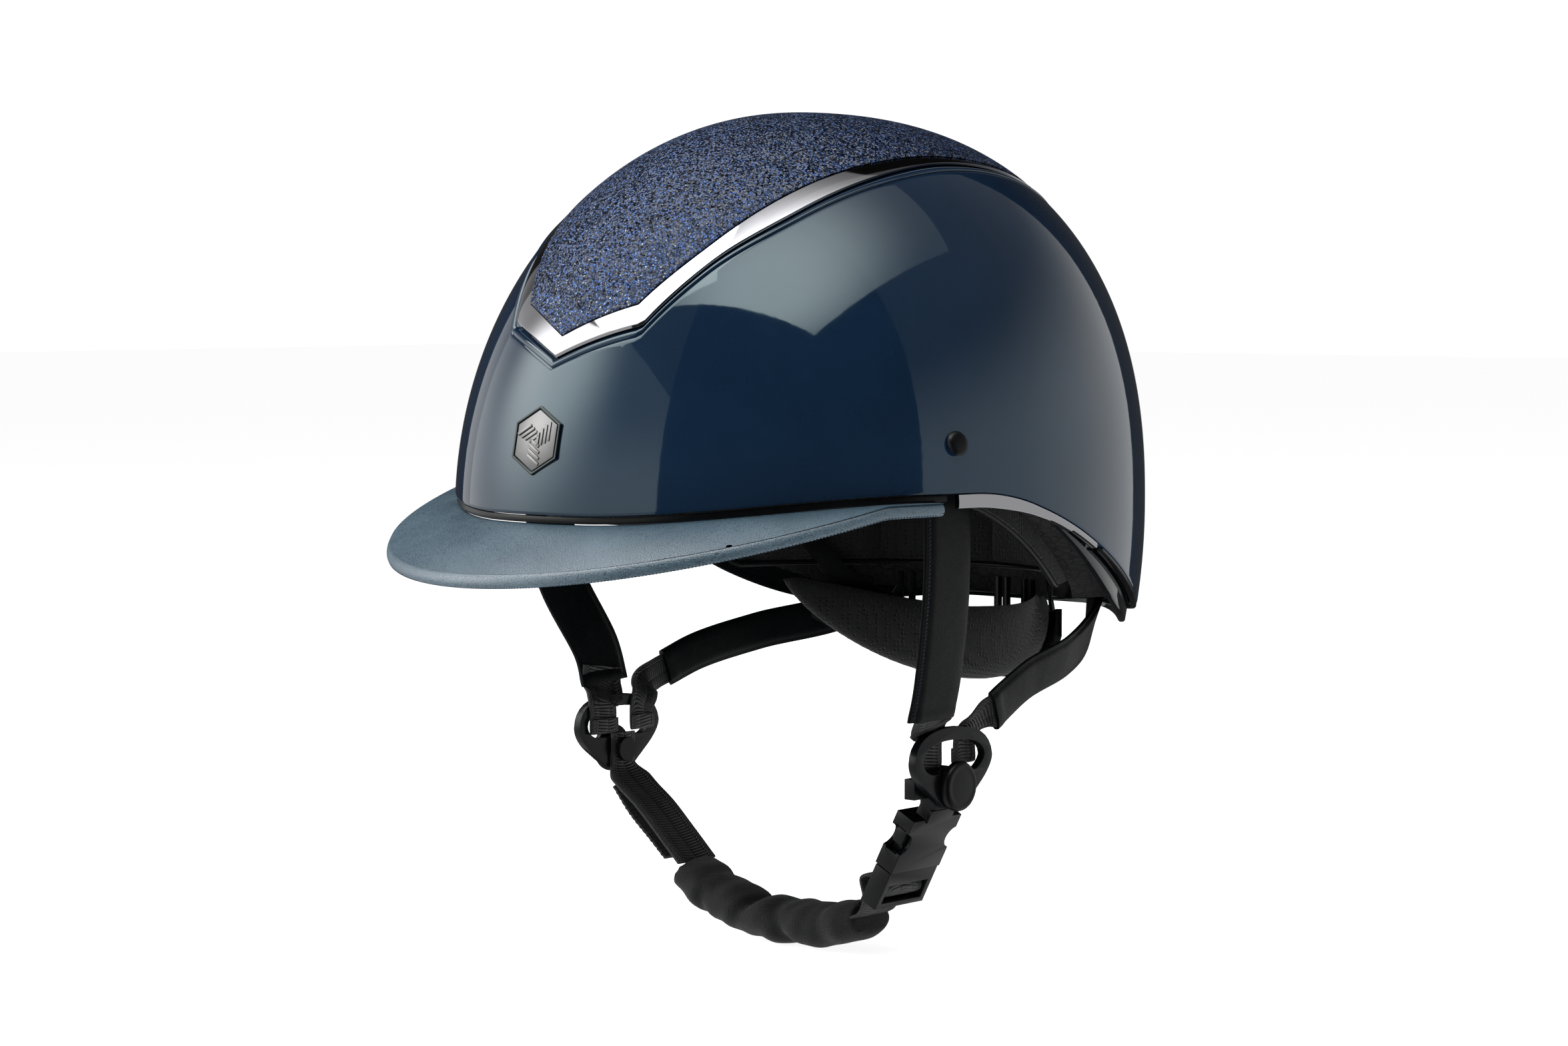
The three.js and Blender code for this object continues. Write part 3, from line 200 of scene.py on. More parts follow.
@dataclass(frozen=True)
class Path:
    """A smooth line through points, in millimetres."""

    knots: tuple[tuple[float, float, float], ...]
    samples: list[Vector] = field(init=False, repr=False)
    lengths: list[float] = field(init=False, repr=False)

    def __post_init__(self) -> None:
        """Sample the curve and its running length."""
        points = [Vector(k) for k in self.knots]
        points = [2 * points[0] - points[1], *points, 2 * points[-1] - points[-2]]
        samples = [points[1].copy()]
        for a, b, c, d in zip(points, points[1:], points[2:], points[3:]):
            ta, tb, tc = (max((q - p).length, 1e-4) ** 0.5 for p, q in ((a, b), (b, c), (c, d)))
            start = ((b - a) / ta - (c - a) / (ta + tb) + (c - b) / tb) * tb
            end = ((c - b) / tb - (d - b) / (tb + tc) + (d - c) / tc) * tb
            for i in range(1, 17):
                t = i / 16
                cubic = (2 * b - 2 * c + start + end) * t**3 + (3 * c - 3 * b - 2 * start - end) * t**2
                samples.append(cubic + start * t + b)
        lengths = [0.0]
        for p, q in zip(samples, samples[1:]):
            lengths.append(lengths[-1] + (q - p).length)
        object.__setattr__(self, "samples", samples)
        object.__setattr__(self, "lengths", lengths)

    @property
    def length(self) -> float:
        """The line's whole length."""
        return self.lengths[-1]

    def at(self, t: float) -> tuple[Vector, Vector]:
        """The point and the direction at a share of the length.

        Args:
            t: The share, from 0 to 1.

        Returns:
            The point and the unit direction.
        """
        want = min(max(t, 0.0), 1.0) * self.length
        last = len(self.lengths) - 1
        index = next((i for i, total in enumerate(self.lengths[1:], 1) if total >= want), last)
        span = self.lengths[index] - self.lengths[index - 1] or 1.0
        share = (want - self.lengths[index - 1]) / span
        point = self.samples[index - 1].lerp(self.samples[index], share)
        before, after = self.samples[max(index - 2, 0)], self.samples[min(index + 1, len(self.samples) - 1)]
        return point, (after - before).normalized()


def fore_aft(t: float, point: Vector, along: Vector) -> Vector:
    """The width direction of a strip whose width runs front to back."""
    return Vector((0, 1, 0))


def upright_from(centre_y: float) -> Callable[[float, Vector, Vector], Vector]:
    """The width direction of a strip that stands on edge round a centre."""
    return lambda t, point, along: along.cross(Vector((point.x, point.y - centre_y, 0)).normalized())


def strip_section(u: float, half_width: float, half_depth: float, power: float = 5.0) -> Pair:
    """A point on a rounded flat section.

    Args:
        u: The share of the way round, from 0 to 1.
        half_width: Half the section's width.
        half_depth: Half its thickness.
        power: How square the section is; 2 is an ellipse.

    Returns:
        The place across the width and through the thickness.
    """
    a = 2 * math.pi * u
    across, deep = signed_power(math.cos(a), 2 / power), signed_power(math.sin(a), 2 / power)
    return half_width * across, half_depth * deep


def strip(
    name: str,
    path: Path,
    across: Callable[[float, Vector, Vector], Vector],
    section: Callable[[float, float], Pair],
    steps: int = 60,
    around: int = 32,
    width: float = 20.0,
) -> bpy.types.Object:
    """Carry a closed section along a path.

    Args:
        name: The new object's name.
        path: The line that the section follows.
        across: Gives the section's width direction on the path.
        section: Gives the section's point for u round it and t along the path.
        steps: Faces along the path.
        around: Faces round the section.
        width: The strip's width, for its UV map.

    Returns:
        The new object, with closed ends.
    """

    def place(u: float, v: float) -> Vector:
        """The strip's point for u round its section and v along it."""
        centre, along = path.at(v)
        side = across(v, centre, along)
        side = (side - along * side.dot(along)).normalized()
        face = side.cross(along)
        a, b = section(u, v)
        return centre + side * a + face * b

    return patch(name, around, steps, place, (2 * width, path.length), caps=True, smooth_angle=50)


def turned(
    name: str, profile: Sequence[Pair], start: Vector, way: Vector, sides: int = 64, smooth_angle: float = 35
) -> bpy.types.Object:
    """Turn a profile about an axis.

    Args:
        name: The new object's name.
        profile: Radius and height pairs, in millimetres, from one end of the axis to the other.
        start: Where height 0 is.
        way: The axis.
        sides: Faces round.
        smooth_angle: Edges sharper than this, in degrees, stay sharp.

    Returns:
        The new object.
    """
    bm = bmesh.new()
    verts = [bm.verts.new((radius * MM, 0, height * MM)) for radius, height in profile]
    edges = [bm.edges.new(pair) for pair in zip(verts, verts[1:])]
    bmesh.ops.spin(
        bm, geom=verts + edges, cent=(0, 0, 0), axis=(0, 0, 1), angle=2 * math.pi, steps=sides, use_merge=True
    )
    bmesh.ops.remove_doubles(bm, verts=bm.verts, dist=1e-6)
    bmesh.ops.recalc_face_normals(bm, faces=bm.faces)
    turn = Vector((0, 0, 1)).rotation_difference(way).to_matrix().to_4x4()
    bmesh.ops.transform(bm, matrix=Matrix.Translation(start * MM) @ turn, verts=bm.verts)
    return to_object(bm, name, smooth_angle)


def softened(node: str, name: str, radius: float, segments: int = 2, angle: float = 35.0) -> bpy.types.Object:
    """Copy a hard-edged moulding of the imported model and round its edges.

    Args:
        node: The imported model's node.
        name: The new object's name.
        radius: The rounding, in millimetres.
        segments: Faces across each rounding.
        angle: Edges that turn more than this, in degrees, are rounded.

    Returns:
        The new object, which stands for the node.
    """
    bm = bmesh.new()
    bm.from_mesh(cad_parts[node].data)
    bmesh.ops.remove_doubles(bm, verts=bm.verts, dist=3e-6)
    bmesh.ops.dissolve_degenerate(bm, dist=1e-6, edges=bm.edges)
    bmesh.ops.dissolve_limit(bm, angle_limit=math.radians(1.0), verts=bm.verts, edges=bm.edges)
    sharp = [e for e in bm.edges if e.is_manifold and e.calc_face_angle(0) > math.radians(angle)]
    bmesh.ops.bevel(
        bm,
        geom=sharp,
        offset=radius * MM,
        offset_type="OFFSET",
        segments=segments,
        profile=0.5,
        affect="EDGES",
        clamp_overlap=True,
        material=-1,
    )
    piece = to_object(bm, name, 32)
    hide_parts(node)
    return piece


def stitches(
    name: str, line: Sequence[tuple[Vector, Vector]], length: float, thick: float
) -> bpy.types.Object:
    """Lay separate stitches along a line.

    Args:
        name: The new object's name.
        line: Points and outward directions, evenly spaced, one gap per stitch.
        length: Share of each gap that its stitch fills.
        thick: The thread's thickness, in millimetres.

    Returns:
        The new object.
    """
    bm = bmesh.new()
    for (start, out), (end, _) in zip(line, line[1:]):
        along = end - start
        if along.length < 1e-6:
            continue
        middle = (start + end) / 2 + out * thick * 0.1
        side = out.cross(along).normalized()
        turn = Matrix((along.normalized(), side, along.normalized().cross(side))).transposed().to_4x4()
        size = Matrix.Diagonal((along.length * length / 2 * MM, thick / 2 * MM, thick / 2 * MM, 1))
        bmesh.ops.create_uvsphere(
            bm, u_segments=6, v_segments=6, radius=1, matrix=Matrix.Translation(middle * MM) @ turn @ size
        )
    bmesh.ops.recalc_face_normals(bm, faces=bm.faces)
    return to_object(bm, name, 80)


def settle(
    piece: bpy.types.Object, body: Body, finish: bpy.types.Material, stands_for: Sequence[str] = ()
) -> bpy.types.Object:
    """Give a piece its finish and its body.

    Args:
        piece: The finished object.
        body: The body that it rides on.
        finish: The material.
        stands_for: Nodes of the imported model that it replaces.

    Returns:
        The piece.
    """
    piece.data.materials.clear()
    piece.data.materials.append(finish)
    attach(piece, body.value)
    if stands_for:
        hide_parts(*stands_for)
    return piece


def evaluated(piece: bpy.types.Object) -> bpy.types.Mesh:
    """A piece's mesh with its modifiers applied."""
    return bpy.data.meshes.new_from_object(piece.evaluated_get(bpy.context.evaluated_depsgraph_get()))


def plumped(piece: bpy.types.Object, cell: float, most: float, pressure: float = 4.0) -> None:
    """Let a padded piece settle as filled fabric, with a short cloth simulation.

    Args:
        piece: The piece, whose mesh is replaced.
        cell: Size of the even cells that it is remeshed with, in metres.
        most: The furthest that a point may move, in metres.
        pressure: Pressure of the filling.
    """
    remesh = piece.modifiers.new("even_cells", "REMESH")
    remesh.mode, remesh.voxel_size = "VOXEL", cell
    piece.data = evaluated(piece)
    piece.modifiers.clear()
    fabric = piece.modifiers.new("fabric", "CLOTH")
    fabric.settings.quality = 6
    fabric.settings.mass = 0.15
    fabric.settings.tension_stiffness = fabric.settings.compression_stiffness = 18.0
    fabric.settings.bending_stiffness = 0.4
    fabric.settings.use_pressure = True
    fabric.settings.uniform_pressure_force = pressure
    fabric.settings.effector_weights.gravity = 0
    fabric.point_cache.frame_start, fabric.point_cache.frame_end = 1, 20
    scene = bpy.context.scene
    for frame in range(1, 21):
        scene.frame_set(frame)
    settled = evaluated(piece)
    piece.modifiers.clear()
    for vert, end in zip(piece.data.vertices, settled.vertices):
        move = end.co - vert.co
        vert.co += move * min(1.0, most / max(move.length, 1e-9))
    bpy.data.meshes.remove(settled)
    scene.frame_set(1)
    rounding = piece.modifiers.new("rounding", "SUBSURF")
    rounding.levels = rounding.render_levels = 1
    piece.data = evaluated(piece)
    piece.modifiers.clear()
    piece.data.polygons.foreach_set("use_smooth", [True] * len(piece.data.polygons))


# ------------------------------------------------------------------ the dome's surface


@dataclass(frozen=True)
class DomeForm:
    """A helmet dome: superellipses in plan and in profile."""

    half_width: float
    front: float
    rear: float
    height: float
    skirt: float
    plan: float
    front_power: float
    rear_power: float

    def power(self, theta: float) -> float:
        """The profile's power at an angle in radians."""
        return lerp(self.front_power, self.rear_power, (1 - math.cos(theta)) / 2)

    def scale(self, theta: float, z: float, inset: float) -> float:
        """The share of the plan outline left at a height."""
        if z < 0:
            return math.sqrt(1 - (z / self.skirt) ** 2)
        power = self.power(theta)
        share = min(z / (self.height - inset), 1.0)
        return max(1 - share**power, 0.0) ** (1 / power)

    def point(self, degrees: float, z: float, inset: float = 0.0) -> Vector:
        """The point at an angle from the front and a height.

        Args:
            degrees: The angle, positive towards the wearer's left.
            z: The height.
            inset: How far the point is sunk below the surface.

        Returns:
            The point, in millimetres.
        """
        theta = math.radians(degrees)
        length = (self.front if math.cos(theta) > 0 else self.rear) - inset
        scale = self.scale(theta, z, inset)
        x = signed_power(math.sin(theta), 2 / self.plan) * (self.half_width - inset) * scale
        return Vector((x, -signed_power(math.cos(theta), 2 / self.plan) * length * scale, z))

    def turn_of(self, degrees: float, z: float) -> float:
        """The profile angle, 0 at the crown, of a height."""
        if z < 0:
            return math.pi / 2 - z / self.height
        return math.acos(min(max(z / self.height, 0.0), 1.0) ** (self.power(math.radians(degrees)) / 2))

    def height_of(self, degrees: float, turn: float) -> float:
        """The height of a profile angle."""
        if turn > math.pi / 2:
            return -self.height * (turn - math.pi / 2)
        return self.height * max(math.cos(turn), 0.0) ** (2 / self.power(math.radians(degrees)))

    def normal(self, degrees: float, z: float) -> Vector:
        """The outward direction at an angle and height."""
        across = self.point(degrees + 0.2, z) - self.point(degrees - 0.2, z)
        down = self.point(degrees, z - 0.3) - self.point(degrees, z + 0.3)
        way = across.cross(down).normalized()
        return way if way.dot(self.point(degrees, z)) > 0 else -way

    def crown_point(self, x: float, degrees: float) -> Vector:
        """The point at a side distance and an angle from the vertical in the plane of symmetry."""
        a = math.radians(degrees)
        low, high = 0.0, 220.0
        for _ in range(36):
            reach = (low + high) / 2
            y, z = -reach * math.sin(a), reach * math.cos(a)
            across = (abs(x) / self.half_width) ** self.plan
            along = (abs(y) / (self.front if y < 0 else self.rear)) ** self.plan
            whole = across + along
            theta = math.acos(-math.copysign(math.sqrt(along / whole), y)) if whole else 0.0
            inside = z < self.height and (across + along) ** (1 / self.plan) < self.scale(theta, z, 0)
            low, high = (reach, high) if inside else (low, reach)
        return Vector((x, -low * math.sin(a), low * math.cos(a)))

    def angle_of(self, point: Vector) -> float:
        """The angle from the front, in degrees, whose column holds a point with x from 0 up."""
        across = (abs(point.x) / self.half_width) ** self.plan
        along = (abs(point.y) / (self.front if point.y < 0 else self.rear)) ** self.plan
        return math.degrees(math.acos(-math.copysign(math.sqrt(along / (across + along)), point.y)))


DOME = DomeForm(106.0, 134.0, 149.3, 138.0, 174.0, 1.955, 1.965, 2.407)
CAVITY = DomeForm(86.0, 104.0, 114.0, 111.0, 1e9, 1.955, 2.1, 2.3)


@dataclass(frozen=True)
class RimLine:
    """The shell's lower edge: level at the brow, high over the ears and low at the nape."""

    front: float = 4.0
    ear: float = 10.4
    nape: float = -40.0
    late_drop: float = 2.4
    wall: float = 3.0
    lobe: float = 9.0

    def height(self, degrees: float) -> float:
        """The edge's height at an angle from the front."""
        a = folded(degrees)
        drop = self.ear - self.nape - self.late_drop
        rise = lerp(self.front, self.ear, smoothstep(a, 10, 66))
        return rise - drop * smoothstep(a, 76, 142) - self.late_drop * smoothstep(a, 130, 180)

    def lower(self, degrees: float) -> float:
        """The height of the inner rim's edge, which hangs in a lobe behind the ear."""
        a = folded(degrees)
        lobe = smoothstep(a, 84, 118) * (1 - 0.85 * smoothstep(a, 118, 165))
        return self.height(degrees) - lobe * self.lobe + 2.6 * (1 - lobe) * smoothstep(100 - a, 0, 20)


RIM = RimLine()


@dataclass(frozen=True)
class Outline:
    """A pointed leaf on the crown: angle from the vertical and half width, front to rear."""

    front_tip: float
    rear_tip: float
    side: tuple[Pair, ...]
    margin: float = 0.0
    table: list[Pair] = field(init=False, repr=False)

    def __post_init__(self) -> None:
        """Work out the outline's height for each angle round the dome."""
        rows = [(a, w + self.margin) for a, w in self.side]
        grow = self.margin * 0.4
        line: list[Pair] = []
        for t in range(20):
            line.append((lerp(self.front_tip + grow, rows[0][0], t / 20), lerp(0.0, rows[0][1], t / 20)))
        for i in range(len(rows) - 1):
            before, after = rows[max(i - 1, 0)], rows[min(i + 2, len(rows) - 1)]
            for k in range(16):
                t = k / 16
                here, there = rows[i], rows[i + 1]
                line.append(tuple(self._spline(before[j], here[j], there[j], after[j], t) for j in (0, 1)))
        for t in range(21):
            line.append((lerp(rows[-1][0], self.rear_tip - grow, t / 20), lerp(rows[-1][1], 0.0, t / 20)))
        points = [DOME.crown_point(max(w, 0.01), a) for a, w in line]
        found = [(DOME.angle_of(p), p.z) for p in points]
        object.__setattr__(self, "table", sorted(found))

    @staticmethod
    def _spline(a: float, b: float, c: float, d: float, t: float) -> float:
        """One coordinate of a smooth curve from b to c."""
        start, end = (c - a) / 2, (d - b) / 2
        return (2 * b - 2 * c + start + end) * t**3 + (3 * c - 3 * b - 2 * start - end) * t**2 + start * t + b

    def height(self, degrees: float) -> float:
        """The outline's height at an angle round the dome."""
        a = folded(degrees)
        if a <= self.table[0][0]:
            return self.table[0][1]
        for (a0, z0), (a1, z1) in zip(self.table, self.table[1:]):
            if a <= a1:
                return lerp(z0, z1, (a - a0) / max(a1 - a0, 1e-9))
        return self.table[-1][1]


def down_from(degrees: float, turn: float, distance: float) -> float:
    """The profile angle at a distance down the dome from another.

    Args:
        degrees: The angle from the front.
        turn: The profile angle to start from.
        distance: Millimetres down the surface.

    Returns:
        The new profile angle.
    """
    here = DOME.point(degrees, DOME.height_of(degrees, turn))
    there = DOME.point(degrees, DOME.height_of(degrees, turn + 0.01))
    return turn + 0.01 * distance / max((there - here).length, 1e-6)


# ------------------------------------------------------------------ finishes


class Nodes:
    """A node tree with short ways to add and join nodes."""

    def __init__(self, tree: bpy.types.NodeTree) -> None:
        """Start from an empty tree."""
        self.tree = tree
        tree.nodes.clear()

    def add(self, kind: str, inputs: dict | None = None, **settings: object) -> bpy.types.Node:
        """Add a node.

        Args:
            kind: The node's type name, without its ShaderNode prefix.
            inputs: Values or sockets for its inputs, by name or place.
            settings: Its own properties.

        Returns:
            The node.
        """
        node = self.tree.nodes.new(kind if kind.startswith("Node") else "ShaderNode" + kind)
        for key, value in settings.items():
            setattr(node, key, value)
        for key, value in (inputs or {}).items():
            if isinstance(value, bpy.types.NodeSocket):
                self.tree.links.new(value, node.inputs[key])
            else:
                node.inputs[key].default_value = value
        return node

    def maths(self, operation: str, *values: object) -> bpy.types.NodeSocket:
        """Do sums on sockets or numbers and return the result."""
        return self.add("Math", dict(enumerate(values)), operation=operation).outputs[0]

    def vector(self, operation: str, *values: object) -> bpy.types.NodeSocket:
        """Do vector sums and return the result."""
        return self.add("VectorMath", dict(enumerate(values)), operation=operation).outputs[0]

    def spread(
        self, value: object, low: float, high: float, to_low: float = 0.0, to_high: float = 1.0
    ) -> object:
        """Stretch a value from one range to another, and keep it inside."""
        found = self.add(
            "MapRange", {0: value, 1: low, 2: high, 3: to_low, 4: to_high}, interpolation_type="SMOOTHSTEP"
        )
        return found.outputs[0]

    def mix(self, share: object, first: object, second: object) -> bpy.types.NodeSocket:
        """Mix two colours by a share."""
        node = self.add("Mix", data_type="RGBA")
        for key, value in ((0, share), (6, first), (7, second)):
            if isinstance(value, bpy.types.NodeSocket):
                self.tree.links.new(value, node.inputs[key])
            else:
                node.inputs[key].default_value = value
        return node.outputs[2]


class Effects:
    """Surface effects that several finishes share, each one node group."""

    def __init__(self) -> None:
        """Build every group once."""
        self.handling = self._handling()
        self.leather = self._leather()
        self.weave = self._weave()
        self.mesh = self._mesh()

    @staticmethod
    def _group(
        name: str, inputs: Sequence[tuple[str, str, float]], outputs: Sequence[tuple[str, str]]
    ) -> tuple[Nodes, dict[str, bpy.types.NodeSocket], bpy.types.Node]:
        """Start a group.

        Args:
            name: The group's name.
            inputs: Name, kind and starting value of each input.
            outputs: Name and kind of each output.

        Returns:
            Its nodes, its input sockets by name, and its output node.
        """
        tree = bpy.data.node_groups.new(name, "ShaderNodeTree")
        for label, kind, value in inputs:
            socket = tree.interface.new_socket(name=label, in_out="INPUT", socket_type="NodeSocket" + kind)
            if kind == "Float":
                socket.default_value = value
        for label, kind in outputs:
            tree.interface.new_socket(name=label, in_out="OUTPUT", socket_type="NodeSocket" + kind)
        nodes = Nodes(tree)
        source = nodes.add("NodeGroupInput")
        sink = nodes.add("NodeGroupOutput")
        return nodes, {socket.name: socket for socket in source.outputs if socket.name}, sink

    def _handling(self) -> bpy.types.NodeTree:
        """Soft smudges and fine rubbing that shift a surface's roughness and tone."""
        n, get, out = self._group(
            "handling",
            (("Vector", "Vector", 0), ("Scale", "Float", 30.0), ("Amount", "Float", 0.1)),
            (("Roughness", "Float"), ("Tone", "Float")),
        )
        broad = n.add(
            "TexNoise", {"Vector": get["Vector"], "Scale": get["Scale"], "Detail": 3.0, "Roughness": 0.6}
        )
        finer = n.maths("MULTIPLY", get["Scale"], 14.0)
        fine = n.add("TexNoise", {"Vector": get["Vector"], "Scale": finer, "Detail": 4.0, "Roughness": 0.7})
        smudge = n.spread(broad.outputs[0], 0.35, 0.7)
        speck = n.spread(fine.outputs[0], 0.5, 0.75)
        both = n.maths("ADD", n.maths("MULTIPLY", smudge, 0.7), n.maths("MULTIPLY", speck, 0.3))
        n.tree.links.new(n.maths("MULTIPLY", both, get["Amount"]), out.inputs["Roughness"])
        n.tree.links.new(both, out.inputs["Tone"])
        return n.tree

    def _leather(self) -> bpy.types.NodeTree:
        """Pebbled grain with fine creases between the pebbles."""
        n, get, out = self._group(
            "leather_grain",
            (("Vector", "Vector", 0), ("Scale", "Float", 1200.0)),
            (("Height", "Float"), ("Crease", "Float")),
        )
        sway = n.add("TexNoise", {"Vector": get["Vector"], "Scale": n.maths("MULTIPLY", get["Scale"], 0.35)})
        bent = n.vector("MULTIPLY_ADD", sway.outputs[1], Vector((0.0006, 0.0006, 0.0006)), get["Vector"])
        cells = n.add(
            "TexVoronoi", {"Vector": bent, "Scale": get["Scale"]},
            feature="DISTANCE_TO_EDGE", voronoi_dimensions="3D",
        )
        finer = n.maths("MULTIPLY", get["Scale"], 1.7)
        small = n.add("TexNoise", {"Vector": bent, "Scale": finer, "Detail": 2.0})
        crease = n.spread(cells.outputs[0], 0.0, 0.16, 1.0, 0.0)
        swollen, sunk = n.maths("MULTIPLY", small.outputs[0], 0.45), n.maths("MULTIPLY", crease, 0.55)
        body = n.maths("SUBTRACT", swollen, sunk)
        n.tree.links.new(body, out.inputs["Height"])
        n.tree.links.new(crease, out.inputs["Crease"])
        return n.tree

    def _weave(self) -> bpy.types.NodeTree:
        """Ribbed webbing: cross ribs, and a herringbone lean that turns at the middle."""
        n, get, out = self._group(
            "ribbed_weave",
            (("UV", "Vector", 0), ("Rib", "Float", 1.1), ("Cord", "Float", 1.0)),
            (("Height", "Float"), ("Groove", "Float")),
        )
        axes = n.add("SeparateXYZ", {0: n.vector("MULTIPLY", get["UV"], Vector((UV_UNIT, UV_UNIT, 0.0)))})
        across, along = axes.outputs[0], axes.outputs[1]
        lean = n.maths("MULTIPLY", n.maths("PINGPONG", across, 2.5), 0.55)
        phase = n.maths("DIVIDE", n.maths("ADD", along, lean), get["Rib"])
        rib = n.maths("ABSOLUTE", n.maths("SINE", n.maths("MULTIPLY", phase, math.pi)))
        turns = n.maths("MULTIPLY", n.maths("DIVIDE", across, get["Cord"]), math.pi)
        cord = n.maths("ABSOLUTE", n.maths("SINE", turns))
        height = n.maths("MULTIPLY", n.maths("POWER", rib, 0.6), n.maths("POWER", cord, 0.35))
        n.tree.links.new(height, out.inputs["Height"])
        n.tree.links.new(n.spread(height, 0.1, 0.75, 1.0, 0.0), out.inputs["Groove"])
        return n.tree

    def _mesh(self) -> bpy.types.NodeTree:
        """Knitted spacer mesh: small round holes between raised yarns."""
        n, get, out = self._group(
            "spacer_mesh",
            (("Vector", "Vector", 0), ("Scale", "Float", 520.0), ("Fuzz", "Float", 0.3)),
            (("Height", "Float"), ("Hole", "Float")),
        )
        cells = n.add(
            "TexVoronoi", {"Vector": get["Vector"], "Scale": get["Scale"], "Randomness": 0.35},
            voronoi_dimensions="3D",
        )
        fluff = n.add("TexNoise", {"Vector": get["Vector"], "Scale": n.maths("MULTIPLY", get["Scale"], 3.2)})
        hole = n.spread(cells.outputs[0], 0.12, 0.42, 1.0, 0.0)
        body = n.maths("SUBTRACT", n.maths("MULTIPLY", fluff.outputs[0], get["Fuzz"]), hole)
        n.tree.links.new(body, out.inputs["Height"])
        n.tree.links.new(hole, out.inputs["Hole"])
        return n.tree


EFFECTS = Effects()


@dataclass(frozen=True)
class Finish:
    """A named surface finish with one base colour."""

    name: str
    colour: tuple[float, float, float]
    roughness: float

    def rgba(self, gain: float = 1.0) -> tuple[float, float, float, float]:
        """The base colour, brightened by a gain, with full alpha."""
        return (self.colour[0] * gain, self.colour[1] * gain, self.colour[2] * gain, 1.0)

    def start(
        self, **sockets: float
    ) -> tuple[bpy.types.Material, Nodes, bpy.types.Node, bpy.types.NodeSocket]:
        """Start the material.

        Args:
            sockets: Constant values for the shader, with spaces in names written as underscores.

        Returns:
            The material, its nodes, its shader and its object coordinates.
        """
        material = bpy.data.materials.new(self.name)
        material.use_nodes = True
        material.diffuse_color = self.rgba()
        nodes = Nodes(material.node_tree)
        shader = nodes.add("BsdfPrincipled", {"Base Color": self.rgba(), "Roughness": self.roughness})
        for key, value in sockets.items():
            shader.inputs[key.replace("_", " ")].default_value = value
        nodes.add("OutputMaterial", {"Surface": shader.outputs[0]})
        return material, nodes, shader, nodes.add("TexCoord").outputs["Object"]

    @staticmethod
    def bump(nodes: Nodes, shader: bpy.types.Node, height: object, strength: float, distance: float) -> None:
        """Drive the shader's normal by a height, in metres at full strength."""
        bump = nodes.add("Bump", {"Height": height, "Strength": strength, "Distance": distance})
        nodes.tree.links.new(bump.outputs[0], shader.inputs["Normal"])

    def handled(
        self, nodes: Nodes, where: object, scale: float, amount: float, shader: bpy.types.Node
    ) -> object:
        """Shift the roughness by handling marks and return the marks' tone."""
        group = nodes.add("Group", node_tree=EFFECTS.handling)
        nodes.tree.links.new(where, group.inputs["Vector"])
        group.inputs["Scale"].default_value = scale
        group.inputs["Amount"].default_value = amount
        total = nodes.maths("ADD", group.outputs["Roughness"], self.roughness)
        nodes.tree.links.new(total, shader.inputs["Roughness"])
        return group.outputs["Tone"]


@dataclass(frozen=True)
class Lacquer(Finish):
    """Deep clear-coated paint."""

    ripple: float = 0.02
    coat: float = 0.3
    shine: float = 0.44

    def build(self) -> bpy.types.Material:
        """Make the material."""
        material, n, shader, where = self.start(
            Coat_Weight=self.coat, Coat_Roughness=0.02, Coat_IOR=1.5, Specular_IOR_Level=self.shine
        )
        shader.inputs["Specular Tint"].default_value = (0.74, 1.0, 0.98, 1.0)
        tone = self.handled(n, where, 22.0, 0.03, shader)
        n.tree.links.new(n.mix(tone, self.rgba(), self.rgba(1.25)), shader.inputs["Base Color"])
        peel = n.add("TexNoise", {"Vector": where, "Scale": 260.0, "Detail": 1.0})
        self.bump(n, shader, peel.outputs[0], self.ripple, 0.0004)
        return material


@dataclass(frozen=True)
class Glitter(Finish):
    """Packed glitter flakes, each turned its own way, dark between the flakes."""

    def build(self) -> bpy.types.Material:
        """Make the material."""
        material, n, shader, where = self.start()
        flakes = n.add("TexVoronoi", {"Vector": where, "Scale": 1750.0, "Randomness": 1.0})
        toss = n.add("SeparateColor", {0: flakes.outputs["Color"]})
        blue = n.spread(toss.outputs[0], 0.45, 0.95)
        bright = n.spread(toss.outputs[1], 0.86, 0.97)
        base = n.mix(blue, self.rgba(0.35), self.rgba(2.4))
        silver = n.mix(bright, base, (0.32, 0.36, 0.42, 1.0))
        gap = n.spread(flakes.outputs["Distance"], 0.3, 0.62, 1.0, 0.12)
        dark = n.mix(gap, (0.001, 0.0015, 0.003, 1.0), silver)
        n.tree.links.new(dark, shader.inputs["Base Color"])
        metal = n.spread(toss.outputs[2], 0.35, 0.6, 0.15, 0.9)
        n.tree.links.new(metal, shader.inputs["Metallic"])
        n.tree.links.new(n.spread(toss.outputs[0], 0.0, 1.0, 0.22, 0.5), shader.inputs["Roughness"])
        lean = n.vector("SUBTRACT", flakes.outputs["Color"], Vector((0.5, 0.5, 0.5)))
        surface = n.add("NewGeometry").outputs["Normal"]
        turned_way = n.vector("MULTIPLY_ADD", lean, Vector((0.95, 0.95, 0.95)), surface)
        n.tree.links.new(n.vector("NORMALIZE", turned_way), shader.inputs["Normal"])
        return material


@dataclass(frozen=True)
class Metal(Finish):
    """Plated or brushed metal."""

    grain: float = 0.0

    def build(self) -> bpy.types.Material:
        """Make the material."""
        material, n, shader, where = self.start(Metallic=1.0)
        self.handled(n, where, 60.0, 0.06 + self.grain * 0.1, shader)
        stretched = n.vector("MULTIPLY", where, Vector((1.0, 1.0, 14.0)))
        lines = n.add("TexNoise", {"Vector": stretched, "Scale": 900.0, "Detail": 3.0})
        self.bump(n, shader, lines.outputs[0], 0.02 + self.grain, 0.00004)
        return material


